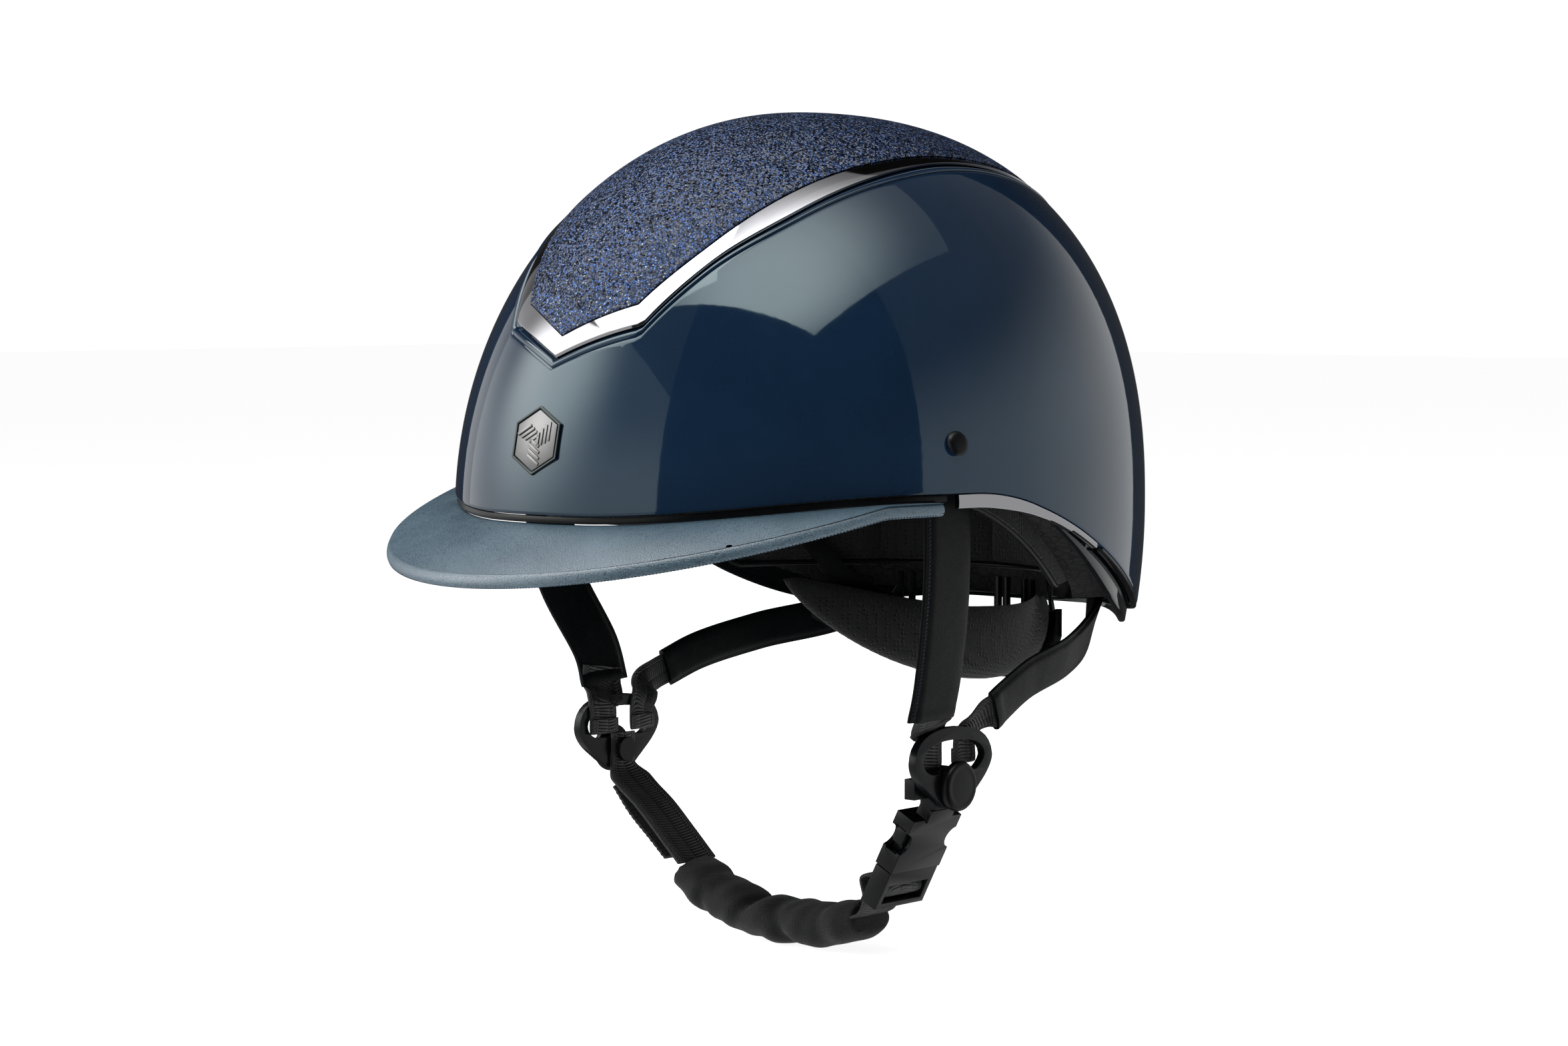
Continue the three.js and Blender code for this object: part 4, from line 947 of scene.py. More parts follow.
@dataclass(frozen=True)
class Moulded(Finish):
    """Moulded plastic with a fine spark-eroded texture and paler rubbed places."""

    texture: float = 0.25
    coat: float = 0.0

    def build(self) -> bpy.types.Material:
        """Make the material."""
        material, n, shader, where = self.start(
            Coat_Weight=self.coat, Coat_Roughness=0.04, Specular_IOR_Level=0.2
        )
        tone = self.handled(n, where, 45.0, 0.08, shader)
        n.tree.links.new(n.mix(tone, self.rgba(0.85), self.rgba(1.35)), shader.inputs["Base Color"])
        spark = n.add("TexNoise", {"Vector": where, "Scale": 3800.0, "Detail": 2.0})
        self.bump(n, shader, spark.outputs[0], self.texture, 0.00006)
        return material


@dataclass(frozen=True)
class Hide(Finish):
    """Leather with a pebbled grain, and painted shade that darkens the creases between the pebbles."""

    scale: float = 1300.0
    depth: float = 0.5
    wrinkle: float = 0.0
    sheen: float = 0.2

    def build(self) -> bpy.types.Material:
        """Make the material."""
        material, n, shader, where = self.start(Specular_IOR_Level=self.sheen)
        tone = self.handled(n, where, 35.0, 0.1, shader)
        grain = n.add("Group", node_tree=EFFECTS.leather)
        n.tree.links.new(where, grain.inputs["Vector"])
        grain.inputs["Scale"].default_value = self.scale
        pale = n.mix(tone, self.rgba(0.9), self.rgba(1.3))
        # Painted shade: the creases between the pebbles are darkened towards 0.45 of the base colour.
        crease_shaded = n.mix(grain.outputs["Crease"], pale, self.rgba(0.45))
        n.tree.links.new(crease_shaded, shader.inputs["Base Color"])
        folds = n.add("TexNoise", {"Vector": where, "Scale": 130.0, "Detail": 2.0})
        height = n.maths("ADD", grain.outputs["Height"], n.maths("MULTIPLY", folds.outputs[0], self.wrinkle))
        self.bump(n, shader, height, self.depth, 0.00012)
        return material


@dataclass(frozen=True)
class Webbing(Finish):
    """Ribbed polyester webbing laid along the piece's own UV map."""

    rib: float = 1.15
    cord: float = 1.3

    def build(self) -> bpy.types.Material:
        """Make the material."""
        material, n, shader, where = self.start(
            Sheen_Weight=0.06, Sheen_Roughness=0.4, Specular_IOR_Level=0.55
        )
        tone = self.handled(n, where, 90.0, 0.1, shader)
        weave = n.add("Group", node_tree=EFFECTS.weave)
        n.tree.links.new(n.add("UVMap", uv_map="UVMap").outputs[0], weave.inputs["UV"])
        weave.inputs["Rib"].default_value = self.rib
        weave.inputs["Cord"].default_value = self.cord
        pale = n.mix(tone, self.rgba(0.9), self.rgba(1.6))
        # Painted shade: the grooves between the ribs and cords are darkened.
        n.tree.links.new(n.mix(weave.outputs["Groove"], pale, self.rgba(0.15)), shader.inputs["Base Color"])
        self.bump(n, shader, weave.outputs["Height"], 0.9, 0.00035)
        return material


@dataclass(frozen=True)
class Knit(Finish):
    """Soft spacer mesh with small holes."""

    scale: float = 620.0
    fuzz: float = 0.4
    depth: float = 0.0005

    def build(self) -> bpy.types.Material:
        """Make the material."""
        material, n, shader, where = self.start(
            Sheen_Weight=0.08, Sheen_Roughness=0.5, Specular_IOR_Level=0.35
        )
        tone = self.handled(n, where, 60.0, 0.08, shader)
        knit = n.add("Group", node_tree=EFFECTS.mesh)
        n.tree.links.new(where, knit.inputs["Vector"])
        knit.inputs["Scale"].default_value = self.scale
        knit.inputs["Fuzz"].default_value = self.fuzz
        pale = n.mix(tone, self.rgba(0.8), self.rgba(1.9))
        # Painted shade: the holes in the knit are darkened.
        n.tree.links.new(n.mix(knit.outputs["Hole"], pale, self.rgba(0.12)), shader.inputs["Base Color"])
        self.bump(n, shader, knit.outputs["Height"], 0.8, self.depth)
        return material


@dataclass(frozen=True)
class BeadFoam(Finish):
    """Moulded bead foam: packed beads a few millimetres across."""

    def build(self) -> bpy.types.Material:
        """Make the material."""
        material, n, shader, where = self.start()
        tone = self.handled(n, where, 40.0, 0.1, shader)
        beads = n.add("TexVoronoi", {"Vector": where, "Scale": 260.0}, feature="DISTANCE_TO_EDGE")
        edge = n.spread(beads.outputs[0], 0.0, 0.12, 1.0, 0.0)
        pale = n.mix(tone, self.rgba(0.8), self.rgba(1.5))
        # Painted shade: the seams between the beads are darkened.
        n.tree.links.new(n.mix(edge, pale, self.rgba(0.4)), shader.inputs["Base Color"])
        self.bump(n, shader, n.maths("MULTIPLY", edge, -1.0), 0.5, 0.0006)
        return material


class Palette:
    """Every finish of the helmet, built once."""

    def __init__(self) -> None:
        """Build the materials."""
        self.navy = Lacquer("navy_lacquer", (0.0040, 0.0120, 0.028), 0.035).build()
        self.glitter = Glitter("navy_glitter", (0.026, 0.056, 0.150), 0.35).build()
        self.chrome = Metal("dark_chrome", (0.36, 0.36, 0.375), 0.035).build()
        self.badge = Metal("satin_gunmetal", (0.15, 0.148, 0.147), 0.27, grain=0.25).build()
        ink = (0.002, 0.0024, 0.003)
        self.black_gloss = Lacquer("black_lacquer", ink, 0.06, coat=0.3, shine=0.25).build()
        self.plastic = Moulded("black_moulding", (0.0018, 0.0020, 0.0025), 0.34).build()
        polished = (0.0026, 0.0029, 0.0035)
        self.smooth_plastic = Moulded("black_smooth_moulding", polished, 0.24, texture=0.08).build()
        slate, soot = (0.047, 0.088, 0.120), (0.0020, 0.0026, 0.0032)
        self.peak = Hide("peak_leather", slate, 0.31, scale=1250.0, depth=0.6, sheen=1.0).build()
        self.strap = Hide("strap_leather", soot, 0.28, 1700.0, 0.45, wrinkle=4.5, sheen=0.1).build()
        self.webbing = Webbing("black_webbing", (0.0060, 0.0064, 0.0072), 0.38).build()
        self.hooks = Knit("hook_tape", (0.0045, 0.0048, 0.0056), 0.7, scale=900.0).build()
        self.mesh = Knit("spacer_mesh", (0.0026, 0.0029, 0.0036), 0.8).build()
        charcoal = (0.0036, 0.0038, 0.0044)
        self.sleeve = Knit("knit_sleeve", charcoal, 0.78, scale=1150.0, fuzz=0.8, depth=0.00022).build()
        self.foam = BeadFoam("bead_foam", (0.006, 0.006, 0.0065), 0.8).build()
        self.steel = Metal("plated_steel", (0.55, 0.55, 0.56), 0.25, grain=0.15).build()
        self.thread = Moulded("navy_thread", (0.012, 0.022, 0.034), 0.55, texture=0.6).build()


# ------------------------------------------------------------------ shell and crown

PANEL_LINE = Outline(
    62.6, -56.5,
    ((56.5, 24.5), (43.2, 37.5), (24.1, 48.6), (3.3, 55.0), (-19.0, 52.4), (-37.0, 40.0), (-51.6, 18.0)),
)
FRAME_LINE = Outline(
    66.0, -59.5,
    ((59.7, 28.6), (47.4, 40.0), (30.8, 52.7), (7.3, 59.4), (-18.5, 55.8), (-38.0, 43.5), (-53.8, 20.5)),
)
Station = tuple[float, float]


def ring(
    name: str,
    columns: int,
    stations: Callable[[float], list[Station]],
    form: DomeForm = DOME,
    first: float = 0.0,
    last: float = 360.0,
    smooth_angle: float = 40.0,
) -> bpy.types.Object:
    """Make a piece that runs round the dome from its section at each angle.

    Args:
        name: The new object's name.
        columns: Faces round.
        stations: Gives the section as heights and insets, always the same number.
        form: The dome that it follows.
        first: The first angle from the front.
        last: The last angle.
        smooth_angle: Edges sharper than this, in degrees, stay sharp.

    Returns:
        The new object; a part ring has closed ends.
    """
    sections = {i: stations(lerp(first, last, i / columns)) for i in range(columns + 1)}
    rows = len(sections[0]) - 1

    def place(u: float, v: float) -> Vector:
        """The section's point for u round the dome and v along the section."""
        column = round(u * columns)
        z, inset = sections[column][round(v * rows)]
        return form.point(lerp(first, last, column / columns), z, inset)

    whole = last - first >= 360
    return patch(name, columns, rows, place, caps=not whole, smooth_angle=smooth_angle)


@dataclass
class Shell:
    """The lacquered shell with its rims, trims and rivets."""

    palette: Palette
    columns: int = 288
    wall: float = 3.0
    bead: tuple[Pair, ...] = (
        (0.25, 2.5), (0.3, 1.6), (0.6, 1.45), (0.95, 1.3), (1.1, 0.75),
        (1.25, 0.3), (1.5, -0.02), (1.9, -0.24),
        (2.4, -0.32), (2.9, -0.22), (3.3, 0.0), (3.5, 0.2), (3.65, 0.36), (3.85, 0.3), (4.2, 0.1), (4.8, 0.0),
    )  # fmt: skip

    def section(self, degrees: float) -> list[Station]:
        """The shell's section: groove and bead at the frame, wall, rounded edge and inside."""
        edge = DOME.turn_of(degrees, FRAME_LINE.height(degrees))
        rim = RIM.height(degrees)
        found = [(DOME.height_of(degrees, down_from(degrees, edge, s)), inset) for s, inset in self.bead]
        start, end = down_from(degrees, edge, 5.6), DOME.turn_of(degrees, rim + 1.2)
        found += [(DOME.height_of(degrees, lerp(start, end, i / 70)), 0.0) for i in range(71)]
        found += [(rim + 0.6, 0.02), (rim + 0.2, 0.15), (rim, 0.55), (rim, 1.5), (rim, 2.5), (rim + 0.3, 2.9)]
        found += [(DOME.height_of(degrees, lerp(end, start, i / 10)), self.wall) for i in range(11)]
        return [*found, (DOME.height_of(degrees, down_from(degrees, edge, 0.25)), 2.9), found[0]]

    def build(self) -> None:
        """Make the shell and what runs round its edge."""
        shell = ring("lacquered_shell", self.columns, self.section)
        settle(shell, Body.HELMET, self.palette.navy, ("outer_shell",))
        self._edgings()
        self._lower_rim()
        for side in Side:
            self._ear_trim(side)
            self._rivet(side)

    def _band(
        self, name: str, first: float, last: float, section: Callable[[float], list[Station]]
    ) -> object:
        """A part ring with its section closed on itself."""
        return ring(name, 160, lambda a: [*section(a), section(a)[0]], DOME, first, last)

    def _edgings(self) -> None:
        """The thin black edgings under the shell, front and rear."""

        def front(degrees: float) -> list[Station]:
            """The front edging's section."""
            top = RIM.height(degrees) - 0.35
            low = top - 2.1
            return [(top, 0.9), (top - 0.4, 0.75), (low + 0.5, 0.7), (low, 0.9), (low, 2.8), (top, 2.8)]

        def rear(degrees: float) -> list[Station]:
            """The rear edging's section."""
            top = RIM.height(degrees) - 0.3
            low = top - 1.1
            return [(top, 0.2), (low + 0.3, 0.15), (low, 0.5), (low, 2.4), (top, 2.6)]

        piece = self._band("front_edge_trim", -71, 71, front)
        settle(piece, Body.HELMET, self.palette.smooth_plastic, ("front_edging",))
        piece = self._band("rear_edge_trim", 107, 253, rear)
        settle(piece, Body.HELMET, self.palette.smooth_plastic, ("rear_edging",))

    def _lower_rim(self) -> None:
        """The glossy inner rim whose lobes hang behind the ears."""

        def section(degrees: float) -> list[Station]:
            """The rim's section, rounded at its lower edge."""
            low = RIM.lower(degrees)
            top = low + 24
            outer = [(lerp(top, low + 0.9, i / 12), 3.45) for i in range(13)]
            edge = [(low + 0.3, 3.6), (low, 4.1), (low, 5.2), (low + 0.3, 5.8)]
            inner = [(lerp(low + 0.9, top, i / 12), 6.05) for i in range(13)]
            return [*outer, *edge, *inner, outer[0]]

        piece = ring("inner_rim", 240, section)
        settle(piece, Body.HELMET, self.palette.black_gloss, ("lower_rim",))

    def _ear_trim(self, side: Side) -> None:
        """The bright strip over an ear, with a stepped narrow tail."""

        def section(degrees: float) -> list[Station]:
            """The strip's section."""
            a = folded(degrees)
            tall = lerp(4.4, 2.7, smoothstep(a, 80, 96)) - 0.9 * smoothstep(a, 97.5, 98.3)
            top = RIM.height(degrees) - 0.35
            low = top - tall
            middle = lerp(top, low, 0.5)
            return [(top, 0.25), (middle, 0.05), (low + 0.35, 0.2), (low, 0.6), (low, 2.3), (top, 2.5)]

        first, last = sorted((side.value * 73.0, side.value * 105.0))
        piece = self._band(f"ear_strip_{side.word}", first, last, section)
        settle(piece, Body.HELMET, self.palette.chrome, (f"ear_trim_{side.word}",))

    def _rivet(self, side: Side) -> None:
        """The domed rivet at the side of the shell."""
        scale = DOME.scale(math.pi / 2, 26.7, 0)
        along = (38 / (DOME.front * scale)) ** DOME.plan
        centre = Vector((side.value * DOME.half_width * scale * (1 - along) ** (1 / DOME.plan), -38, 26.7))
        way = Vector((side.value * 0.9, -38 / DOME.front * 0.75, 0.3)).normalized()
        profile = ((0.0, -10.0), (1.8, -10.0), (1.8, 0.0), (4.0, 0.0), (4.15, 0.15), (4.1, 0.4), (3.7, 0.85))
        steps = [i * math.pi / 16 for i in range(1, 8)]
        dome = ((3.7 * math.cos(a), 0.85 + 0.7 * math.sin(a)) for a in steps)
        profile = (*profile, *dome, (0.0, 1.55))
        piece = turned(f"side_rivet_{side.word}", profile, centre + way * 0.35, way, 40)
        settle(piece, Body.HELMET, self.palette.smooth_plastic, (f"rivet_{side.word}",))


@dataclass
class Crown:
    """The glitter panel on the crown and the bright frame round it."""

    palette: Palette
    columns: int = 288

    def build(self) -> None:
        """Make the panel and its frame."""
        panel = ring("glitter_crown", self.columns, self._panel_section)
        settle(panel, Body.HELMET, self.palette.glitter, ("top_panel",))
        frame = ring("crown_frame", self.columns, self._frame_section, smooth_angle=18)
        settle(frame, Body.HELMET, self.palette.chrome, ("top_frame",))

    def _panel_section(self, degrees: float) -> list[Station]:
        """From the panel's underside edge over its soft lip to the crown, and back beneath."""
        edge = DOME.turn_of(degrees, PANEL_LINE.height(degrees))
        lip = ((0.1, 1.4), (0.0, 0.6), (-0.12, 0.25), (-0.4, 0.02), (-0.9, -0.1))
        found = [(DOME.height_of(degrees, down_from(degrees, edge, s)), inset) for s, inset in lip]
        start = down_from(degrees, edge, -1.6)
        found += [(DOME.height_of(degrees, start * (1 - i / 44)), -0.12) for i in range(45)]
        found[-1] = (DOME.height + 0.12, -0.12)
        below = [(DOME.height_of(degrees, edge * i / 8) * (1 - 1.2 / DOME.height), 1.4) for i in range(9)]
        below[0] = (DOME.height - 1.4, 1.4)
        return [*found, *below[:-1], found[0]]

    def _frame_section(self, degrees: float) -> list[Station]:
        """The frame's narrow outer bevel, broad face and inner edge."""
        outer = DOME.turn_of(degrees, FRAME_LINE.height(degrees))
        inner = DOME.turn_of(degrees, PANEL_LINE.height(degrees))
        profile = ((0.0, 1.6), (0.0, 0.75), (-0.1, 0.6), (-1.0, 0.0), (-1.25, -0.08))
        found = []
        for shift, inset in profile:
            turn = down_from(degrees, outer, shift)
            found.append((DOME.height_of(degrees, turn), inset))
        near = down_from(degrees, inner, 0.35)
        start = down_from(degrees, outer, -1.6)
        for i in range(9):
            face = lerp(-0.08, 0.42, (i / 8) ** 1.3)
            found.append((DOME.height_of(degrees, lerp(start, near, i / 8)), face))
        last = DOME.height_of(degrees, down_from(degrees, inner, 0.25))
        return [*found, (last, 0.6), (last, 1.6), found[0]]


@dataclass
class Badge:
    """The hexagonal plate on the brow with a plain faceted pattern."""

    palette: Palette
    tilt: float = 12.0
    height: float = 28.0

    def build(self) -> None:
        """Make the bezel, the plate and its raised bars."""
        bezel = softened("badge_bezel", "badge_surround", 0.28, 3)
        settle(bezel, Body.HELMET, self.palette.black_gloss)
        plate = softened("badge_plate", "badge_face", 0.3, 2)
        settle(plate, Body.HELMET, self.palette.badge)
        settle(self._bars(), Body.HELMET, self.palette.badge)

    def _bars(self) -> bpy.types.Object:
        """Raised bars that hatch three diamonds of the hexagon, each its own way."""
        bm = bmesh.new()
        for third in range(3):
            turn = math.radians(120 * third)
            for row, length in ((1.1, 4.6), (2.9, 5.6), (4.7, 6.2), (6.5, 6.4)):
                offset = Vector((row * math.cos(math.radians(30)), row * 0.5 - 0.2, 0))
                place = Matrix.Rotation(turn, 4, "Z") @ Matrix.Translation(offset)
                size = Matrix.Diagonal((1.05, length, 0.5, 1))
                bmesh.ops.create_cube(bm, size=1, matrix=place @ size)
        bmesh.ops.bevel(
            bm, geom=bm.edges[:], offset=0.16, offset_type="OFFSET", segments=2, profile=0.5,
            affect="EDGES", material=-1,
        )
        a = math.radians(self.tilt)
        axes = Matrix(((1, 0, 0), (0, math.sin(a), -math.cos(a)), (0, math.cos(a), math.sin(a)))).to_4x4()
        centre = DOME.point(0, self.height) + Vector((0, -math.cos(a), math.sin(a))) * 0.4
        move = Matrix.Scale(MM, 4) @ Matrix.Translation(centre) @ axes
        bmesh.ops.transform(bm, matrix=move, verts=bm.verts)
        return to_object(bm, "badge_pattern", 40)


# ------------------------------------------------------------------ peak


@dataclass
class Peak:
    """The leather-covered peak with a rolled lip and a stitched binding beneath."""

    palette: Palette
    half_width: float = 102.0
    centre_y: float = -32.0
    length: float = 135.0
    lip_z: float = 5.0
    lip_y: float = -82.0
    slope: float = 0.223
    tuck: float = 1.5
    bulge: float = 3.0
    thick: float = 4.5
    columns: int = 176

    def ends(self, s: float) -> tuple[Vector, Vector]:
        """The root on the shell and the lip's edge at a place across the peak, -1 to 1."""
        root = DOME.point(s * 69, 0, self.tuck)
        root.z = RIM.height(s * 69) - 2.75
        angle = math.radians(s * 84)
        lip = Vector((self.half_width * math.sin(angle), self.centre_y - self.length * math.cos(angle), 0))
        lip.z = min(self.lip_z + self.slope * (lip.y - self.lip_y), root.z)
        return root, lip

    def point(self, s: float, back: float, depth: float) -> Vector:
        """A point on or in the peak.

        Args:
            s: The place across, -1 to 1.
            back: Millimetres back from the lip's edge, or a negative share of the reach from the root.
            depth: Millimetres below the top.

        Returns:
            The point, in millimetres.
        """
        root, lip = self.ends(s)
        reach = (lip - root).length
        t = -back if back < 0 else 1 - min(back, reach * 0.85) / reach
        at = root.lerp(lip, t)
        at.z += self.bulge * reach / 40 * 2 * t * (1 - t) - depth
        return at

    def build(self) -> None:
        """Make the cover, the lining and the stitching."""
        thick = self.thick
        top = [(-i / 26 * 0.96 - 1e-6, 0.0) for i in range(27)]
        turns = [i * math.pi / 12 for i in range(13)]
        lip = [(1.9 * (1 - math.sin(a)), thick / 2 * (1 - math.cos(a))) for a in turns]
        under = [(3.5, thick), (5.5, thick), (6.8, thick), (7.1, thick - 0.3), (7.0, thick - 0.95)]
        inner = [(4.5, thick - 1.1), (2.9, thick - 1.2), (2.7, 1.8), (3.2, 1.15)]
        back = [(-(1 - i / 12) * 0.9 - 1e-6, 1.15) for i in range(13)]
        loop = [*top, *lip, *under, *inner, *back, top[0]]
        cover = self._layer("peak_cover_leather", loop)
        settle(cover, Body.HELMET, self.palette.peak, ("peak_cover", "peak_binding"))
        lining = [(-1e-6 - 0.94 * i / 10, thick - 0.95) for i in range(9)]
        lining += [(6.2, thick - 1.0), (6.0, thick - 0.55)]
        lining += [(-1e-6 - 0.94 * i / 10, thick - 0.2) for i in range(8, -1, -1)]
        under_cloth = self._layer("peak_underside", [*lining, lining[0]])
        settle(under_cloth, Body.HELMET, self.palette.peak, ("peak_lining",))
        settle(self._stitching(), Body.HELMET, self.palette.thread)
        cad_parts["peak_board"].data.materials[0] = self.palette.plastic

    def _layer(self, name: str, loop: list[Pair]) -> bpy.types.Object:
        """Carry a section across the peak."""
        rows = len(loop) - 1
        return patch(
            name,
            self.columns,
            rows,
            lambda u, v: self.point(2 * u - 1, *loop[round(v * rows)]),
            caps=True,
            smooth_angle=45,
        )

    def _stitching(self) -> bpy.types.Object:
        """Small stitches along the lip's lower edge."""
        line = []
        for i in range(301):
            s = lerp(-0.985, 0.985, i / 300)
            at = self.point(s, 0.75, self.thick * 0.86)
            out = at - self.point(s, 3.0, self.thick * 0.45)
            line.append((at, out.normalized()))
        return stitches("peak_stitches", line, 0.62, 0.55)


# ------------------------------------------------------------------ liner


@dataclass
class Liner:
    """The soft headband with its piping, the crown pad and the bead foam."""

    palette: Palette
    columns: int = 216

    def build(self) -> None:
        """Make the padded pieces and dress the foam."""
        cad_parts["foam_liner"].data.materials[0] = self.palette.foam
        band = ring("padded_headband", self.columns, self._band_section, CAVITY)
        settle(band, Body.HELMET, self.palette.mesh, ("headband",))
        piping = ring("headband_piping", self.columns, self._piping_section, CAVITY)
        settle(piping, Body.HELMET, self.palette.smooth_plastic)
        pad = ring("padded_crown", 128, self._crown_section, CAVITY)
        settle(pad, Body.HELMET, self.palette.mesh, ("crown_pad",))

    @staticmethod
    def _low(degrees: float) -> float:
        """The headband's lower edge."""
        return max(RIM.height(degrees) - 4, -27.0)

    def _band_section(self, degrees: float) -> list[Station]:
        """A puffed section, quilted into lengths round the head."""
        low = self._low(degrees)
        quilt = abs(math.sin(math.radians(degrees) * 6)) ** 0.35
        outer = [(lerp(low + 33, low + 1, i / 6), 0.75) for i in range(7)]
        inner = []
        for i in range(19):
            t = i / 18
            puff = math.sin(math.pi * t) ** 0.5 * quilt * (1 - 0.45 * math.exp(-(((t - 0.62) * 14) ** 2)))
            inner.append((lerp(low + 0.2, low + 32.8, t), 2.2 + 2.9 * puff))
        return [*outer, *inner, outer[0]]

    def _piping_section(self, degrees: float) -> list[Station]:
        """A round cord under the headband's lower edge."""
        low = self._low(degrees) + 0.6
        turns = [2 * math.pi * i / 12 for i in range(13)]
        return [(low + 1.25 * math.sin(a), 2.6 + 1.25 * math.cos(a)) for a in turns]

    def _crown_section(self, degrees: float) -> list[Station]:
        """The crown pad's puffed lobes."""
        lobes = 0.72 + 0.28 * abs(math.sin(math.radians(degrees) * 3)) ** 0.5
        outer = [(lerp(109.4, 85.5, (i / 10) ** 2), 1.5) for i in range(11)]
        steps = [i / 12 for i in range(13)]
        inner = [(lerp(84.2, 103.4, math.sin(t * math.pi / 2)), 3.0 + 4.2 * lobes * t**0.4) for t in steps]
        return [*outer, *inner, (109.4, 7.4), (109.4, 1.5)]


# ------------------------------------------------------------------ harness


def sleeve_section(width: float, thick: float, flip: float = 1.0) -> Callable[[float, float], Pair]:
    """The section of a leather sleeve: two faces, a folded edge and a stitched flange.

    Args:
        width: The sleeve's width.
        thick: Its thickness.
        flip: Which edge has the flange.

    Returns:
        A section function for strip().
    """

    def section(u: float, t: float) -> Pair:
        """The section's point for u round it; it thins at the stitched edge."""
        a, b = strip_section(u, width / 2, thick / 2, 3.4)
        edge = smoothstep(flip * a, width * 0.34, width * 0.40)
        hem = 1 + 0.18 * smoothstep(t, 0.955, 0.975) * (1 - smoothstep(t, 0.985, 1.0))
        return a, b * (1 - 0.42 * edge) * hem

    return section


def flat_section(width: Callable[[float], float], thick: float) -> Callable[[float, float], Pair]:
    """The section of a flat webbing, with a width that may change along it."""
    return lambda u, t: strip_section(u, width(t) / 2, thick / 2, 7.0)


@dataclass
class Harness:
    """The sleeved straps, their webbing loops and the divider rings."""

    palette: Palette
    ring_x: float = 77.1
    ring_thick: float = 3.0
    pivot_z: float = -90.0
    web: float = 1.1

    def build(self) -> None:
        """Make both sides of the harness."""
        for side, foot, loop_y in ((Side.LEFT, -27.0, -20.5), (Side.RIGHT, -14.0, -21.2)):
            self._front(side, foot, loop_y)
            self._rear(side)
            divider = softened(f"divider_{side.word}", f"divider_ring_{side.word}", 0.85, 3, 40)
            settle(divider, Body.HELMET, self.palette.smooth_plastic)

    def _front(self, side: Side, foot: float, loop_y: float) -> None:
        """A front strap and its loop."""
        s = side.value
        path = Path((
            (s * 88.2, -32, 31),
            (s * 91, -32, 9),
            (s * 90, lerp(-32, foot, 0.2), -24),
            (s * 83.5, lerp(-32, foot, 0.94), -54),
            (s * 80.5, foot, -66),
        ))
        sleeve = strip(f"front_sleeve_{side.word}", path, fore_aft, sleeve_section(24, 3.3, -s), 110, 48, 24)
        settle(sleeve, Body.HELMET, self.palette.strap, (f"front_strap_{side.word}",))
        self._seam(f"front_sleeve_seam_{side.word}", path, fore_aft, 24, 3.3, -s, s)
        middle = lerp(foot, loop_y, 0.5)
        path = Path((
            (s * 80.5, lerp(foot, loop_y, 0.2), -60),
            (s * 80.4, lerp(foot, loop_y, 0.3), -65),
            (s * 78.4, middle, -68.4),
            (s * 75.4, loop_y, -71.4),
            *self._loop(s, loop_y),
        ))
        width = flat_section(lambda t: lerp(20.0, 13.5, smoothstep(t, 0.12, 0.5)), self.web)
        web = strip(f"front_loop_{side.word}", path, fore_aft, width, 90, 32, 16)
        settle(web, Body.HELMET, self.palette.webbing, (f"front_web_{side.word}",))

    def _loop(self, s: int, y: float) -> list[tuple[float, float, float]]:
        """Points down behind the ring's top bar, round a fold above the pivot and up again."""
        outer = self.ring_x - self.ring_thick / 2 - 0.3 - self.web / 2
        fold = self.pivot_z + 6.8
        places = ((0.0, fold + 8.0), (0.0, fold + 1.2), (0.15, fold + 0.25), (0.5, fold), (0.85, fold + 0.25))
        back = ((1.0, fold + 1.2), (1.0, fold + 5.0))
        return [(s * (outer - inset), y, z) for inset, z in (*places, *back)]

    def _rear(self, side: Side) -> None:
        """A rear strap and its loop."""
        s = side.value
        knots = [(50, 112, -14), (50.5, 109, -32), (56, 97, -44)]
        knots += [(72, 61, -52), (76.5, 32, -57.6), (78.6, 16.5, -63)]
        if side is Side.LEFT:
            knots += [(80.4, 7.5, -66.2)]
        path = Path(tuple((s * x, y, z) for x, y, z in knots))
        section = sleeve_section(14, 3.3, 1)
        sleeve = strip(f"rear_sleeve_{side.word}", path, upright_from(0), section, 120, 40, 14)
        settle(sleeve, Body.HELMET, self.palette.strap, (f"rear_strap_{side.word}",))
        y = -1.0
        knots = [(78.7, 20, -62.2), (79.4, 12.0, -64.8), (78.6, 5.5, -67.4), (75.6, 1.5, -71.4)]
        if side is Side.LEFT:
            knots[:2] = [(79.9, 11, -65.2), (80.3, 8, -66.2)]
        path = Path((*((s * a, b, c) for a, b, c in knots), *self._loop(s, y)))

        def across(t: float, point: Vector, along: Vector) -> Vector:
            """Turned to stand on edge in the sleeve, and fore and aft behind the ring."""
            return Vector((1, 0, 0)).cross(along).lerp(Vector((0, 1, 0)), smoothstep(t, 0.12, 0.42))

        width = flat_section(lambda t: 11.5, self.web)
        web = strip(f"rear_loop_{side.word}", path, across, width, 90, 28, 12)
        settle(web, Body.HELMET, self.palette.webbing, (f"rear_web_{side.word}",))

    def _seam(
        self, name: str, path: Path, across: Callable[..., Vector],
        width: float, thick: float, edge: float, out: float,
    ) -> None:
        """A row of stitches near a sleeve's thin edge, on its outer face."""
        line = []
        for i in range(54):
            point, along = path.at(lerp(0.28, 0.985, i / 53))
            side = across(0, point, along)
            side = (side - along * side.dot(along)).normalized()
            face = side.cross(along)
            face = face if face.x * out > 0 else -face
            line.append((point + side * edge * width * 0.43 + face * thick * 0.3, face))
        settle(stitches(name, line, 0.55, 0.5), Body.HELMET, self.palette.thread)


# ------------------------------------------------------------------ buckle and chin strap

PIVOT_Y = -11.0
BUCKLE_AT = Vector((58.1, PIVOT_Y, -118.5))
BUCKLE_LEAN = math.radians(27.6)


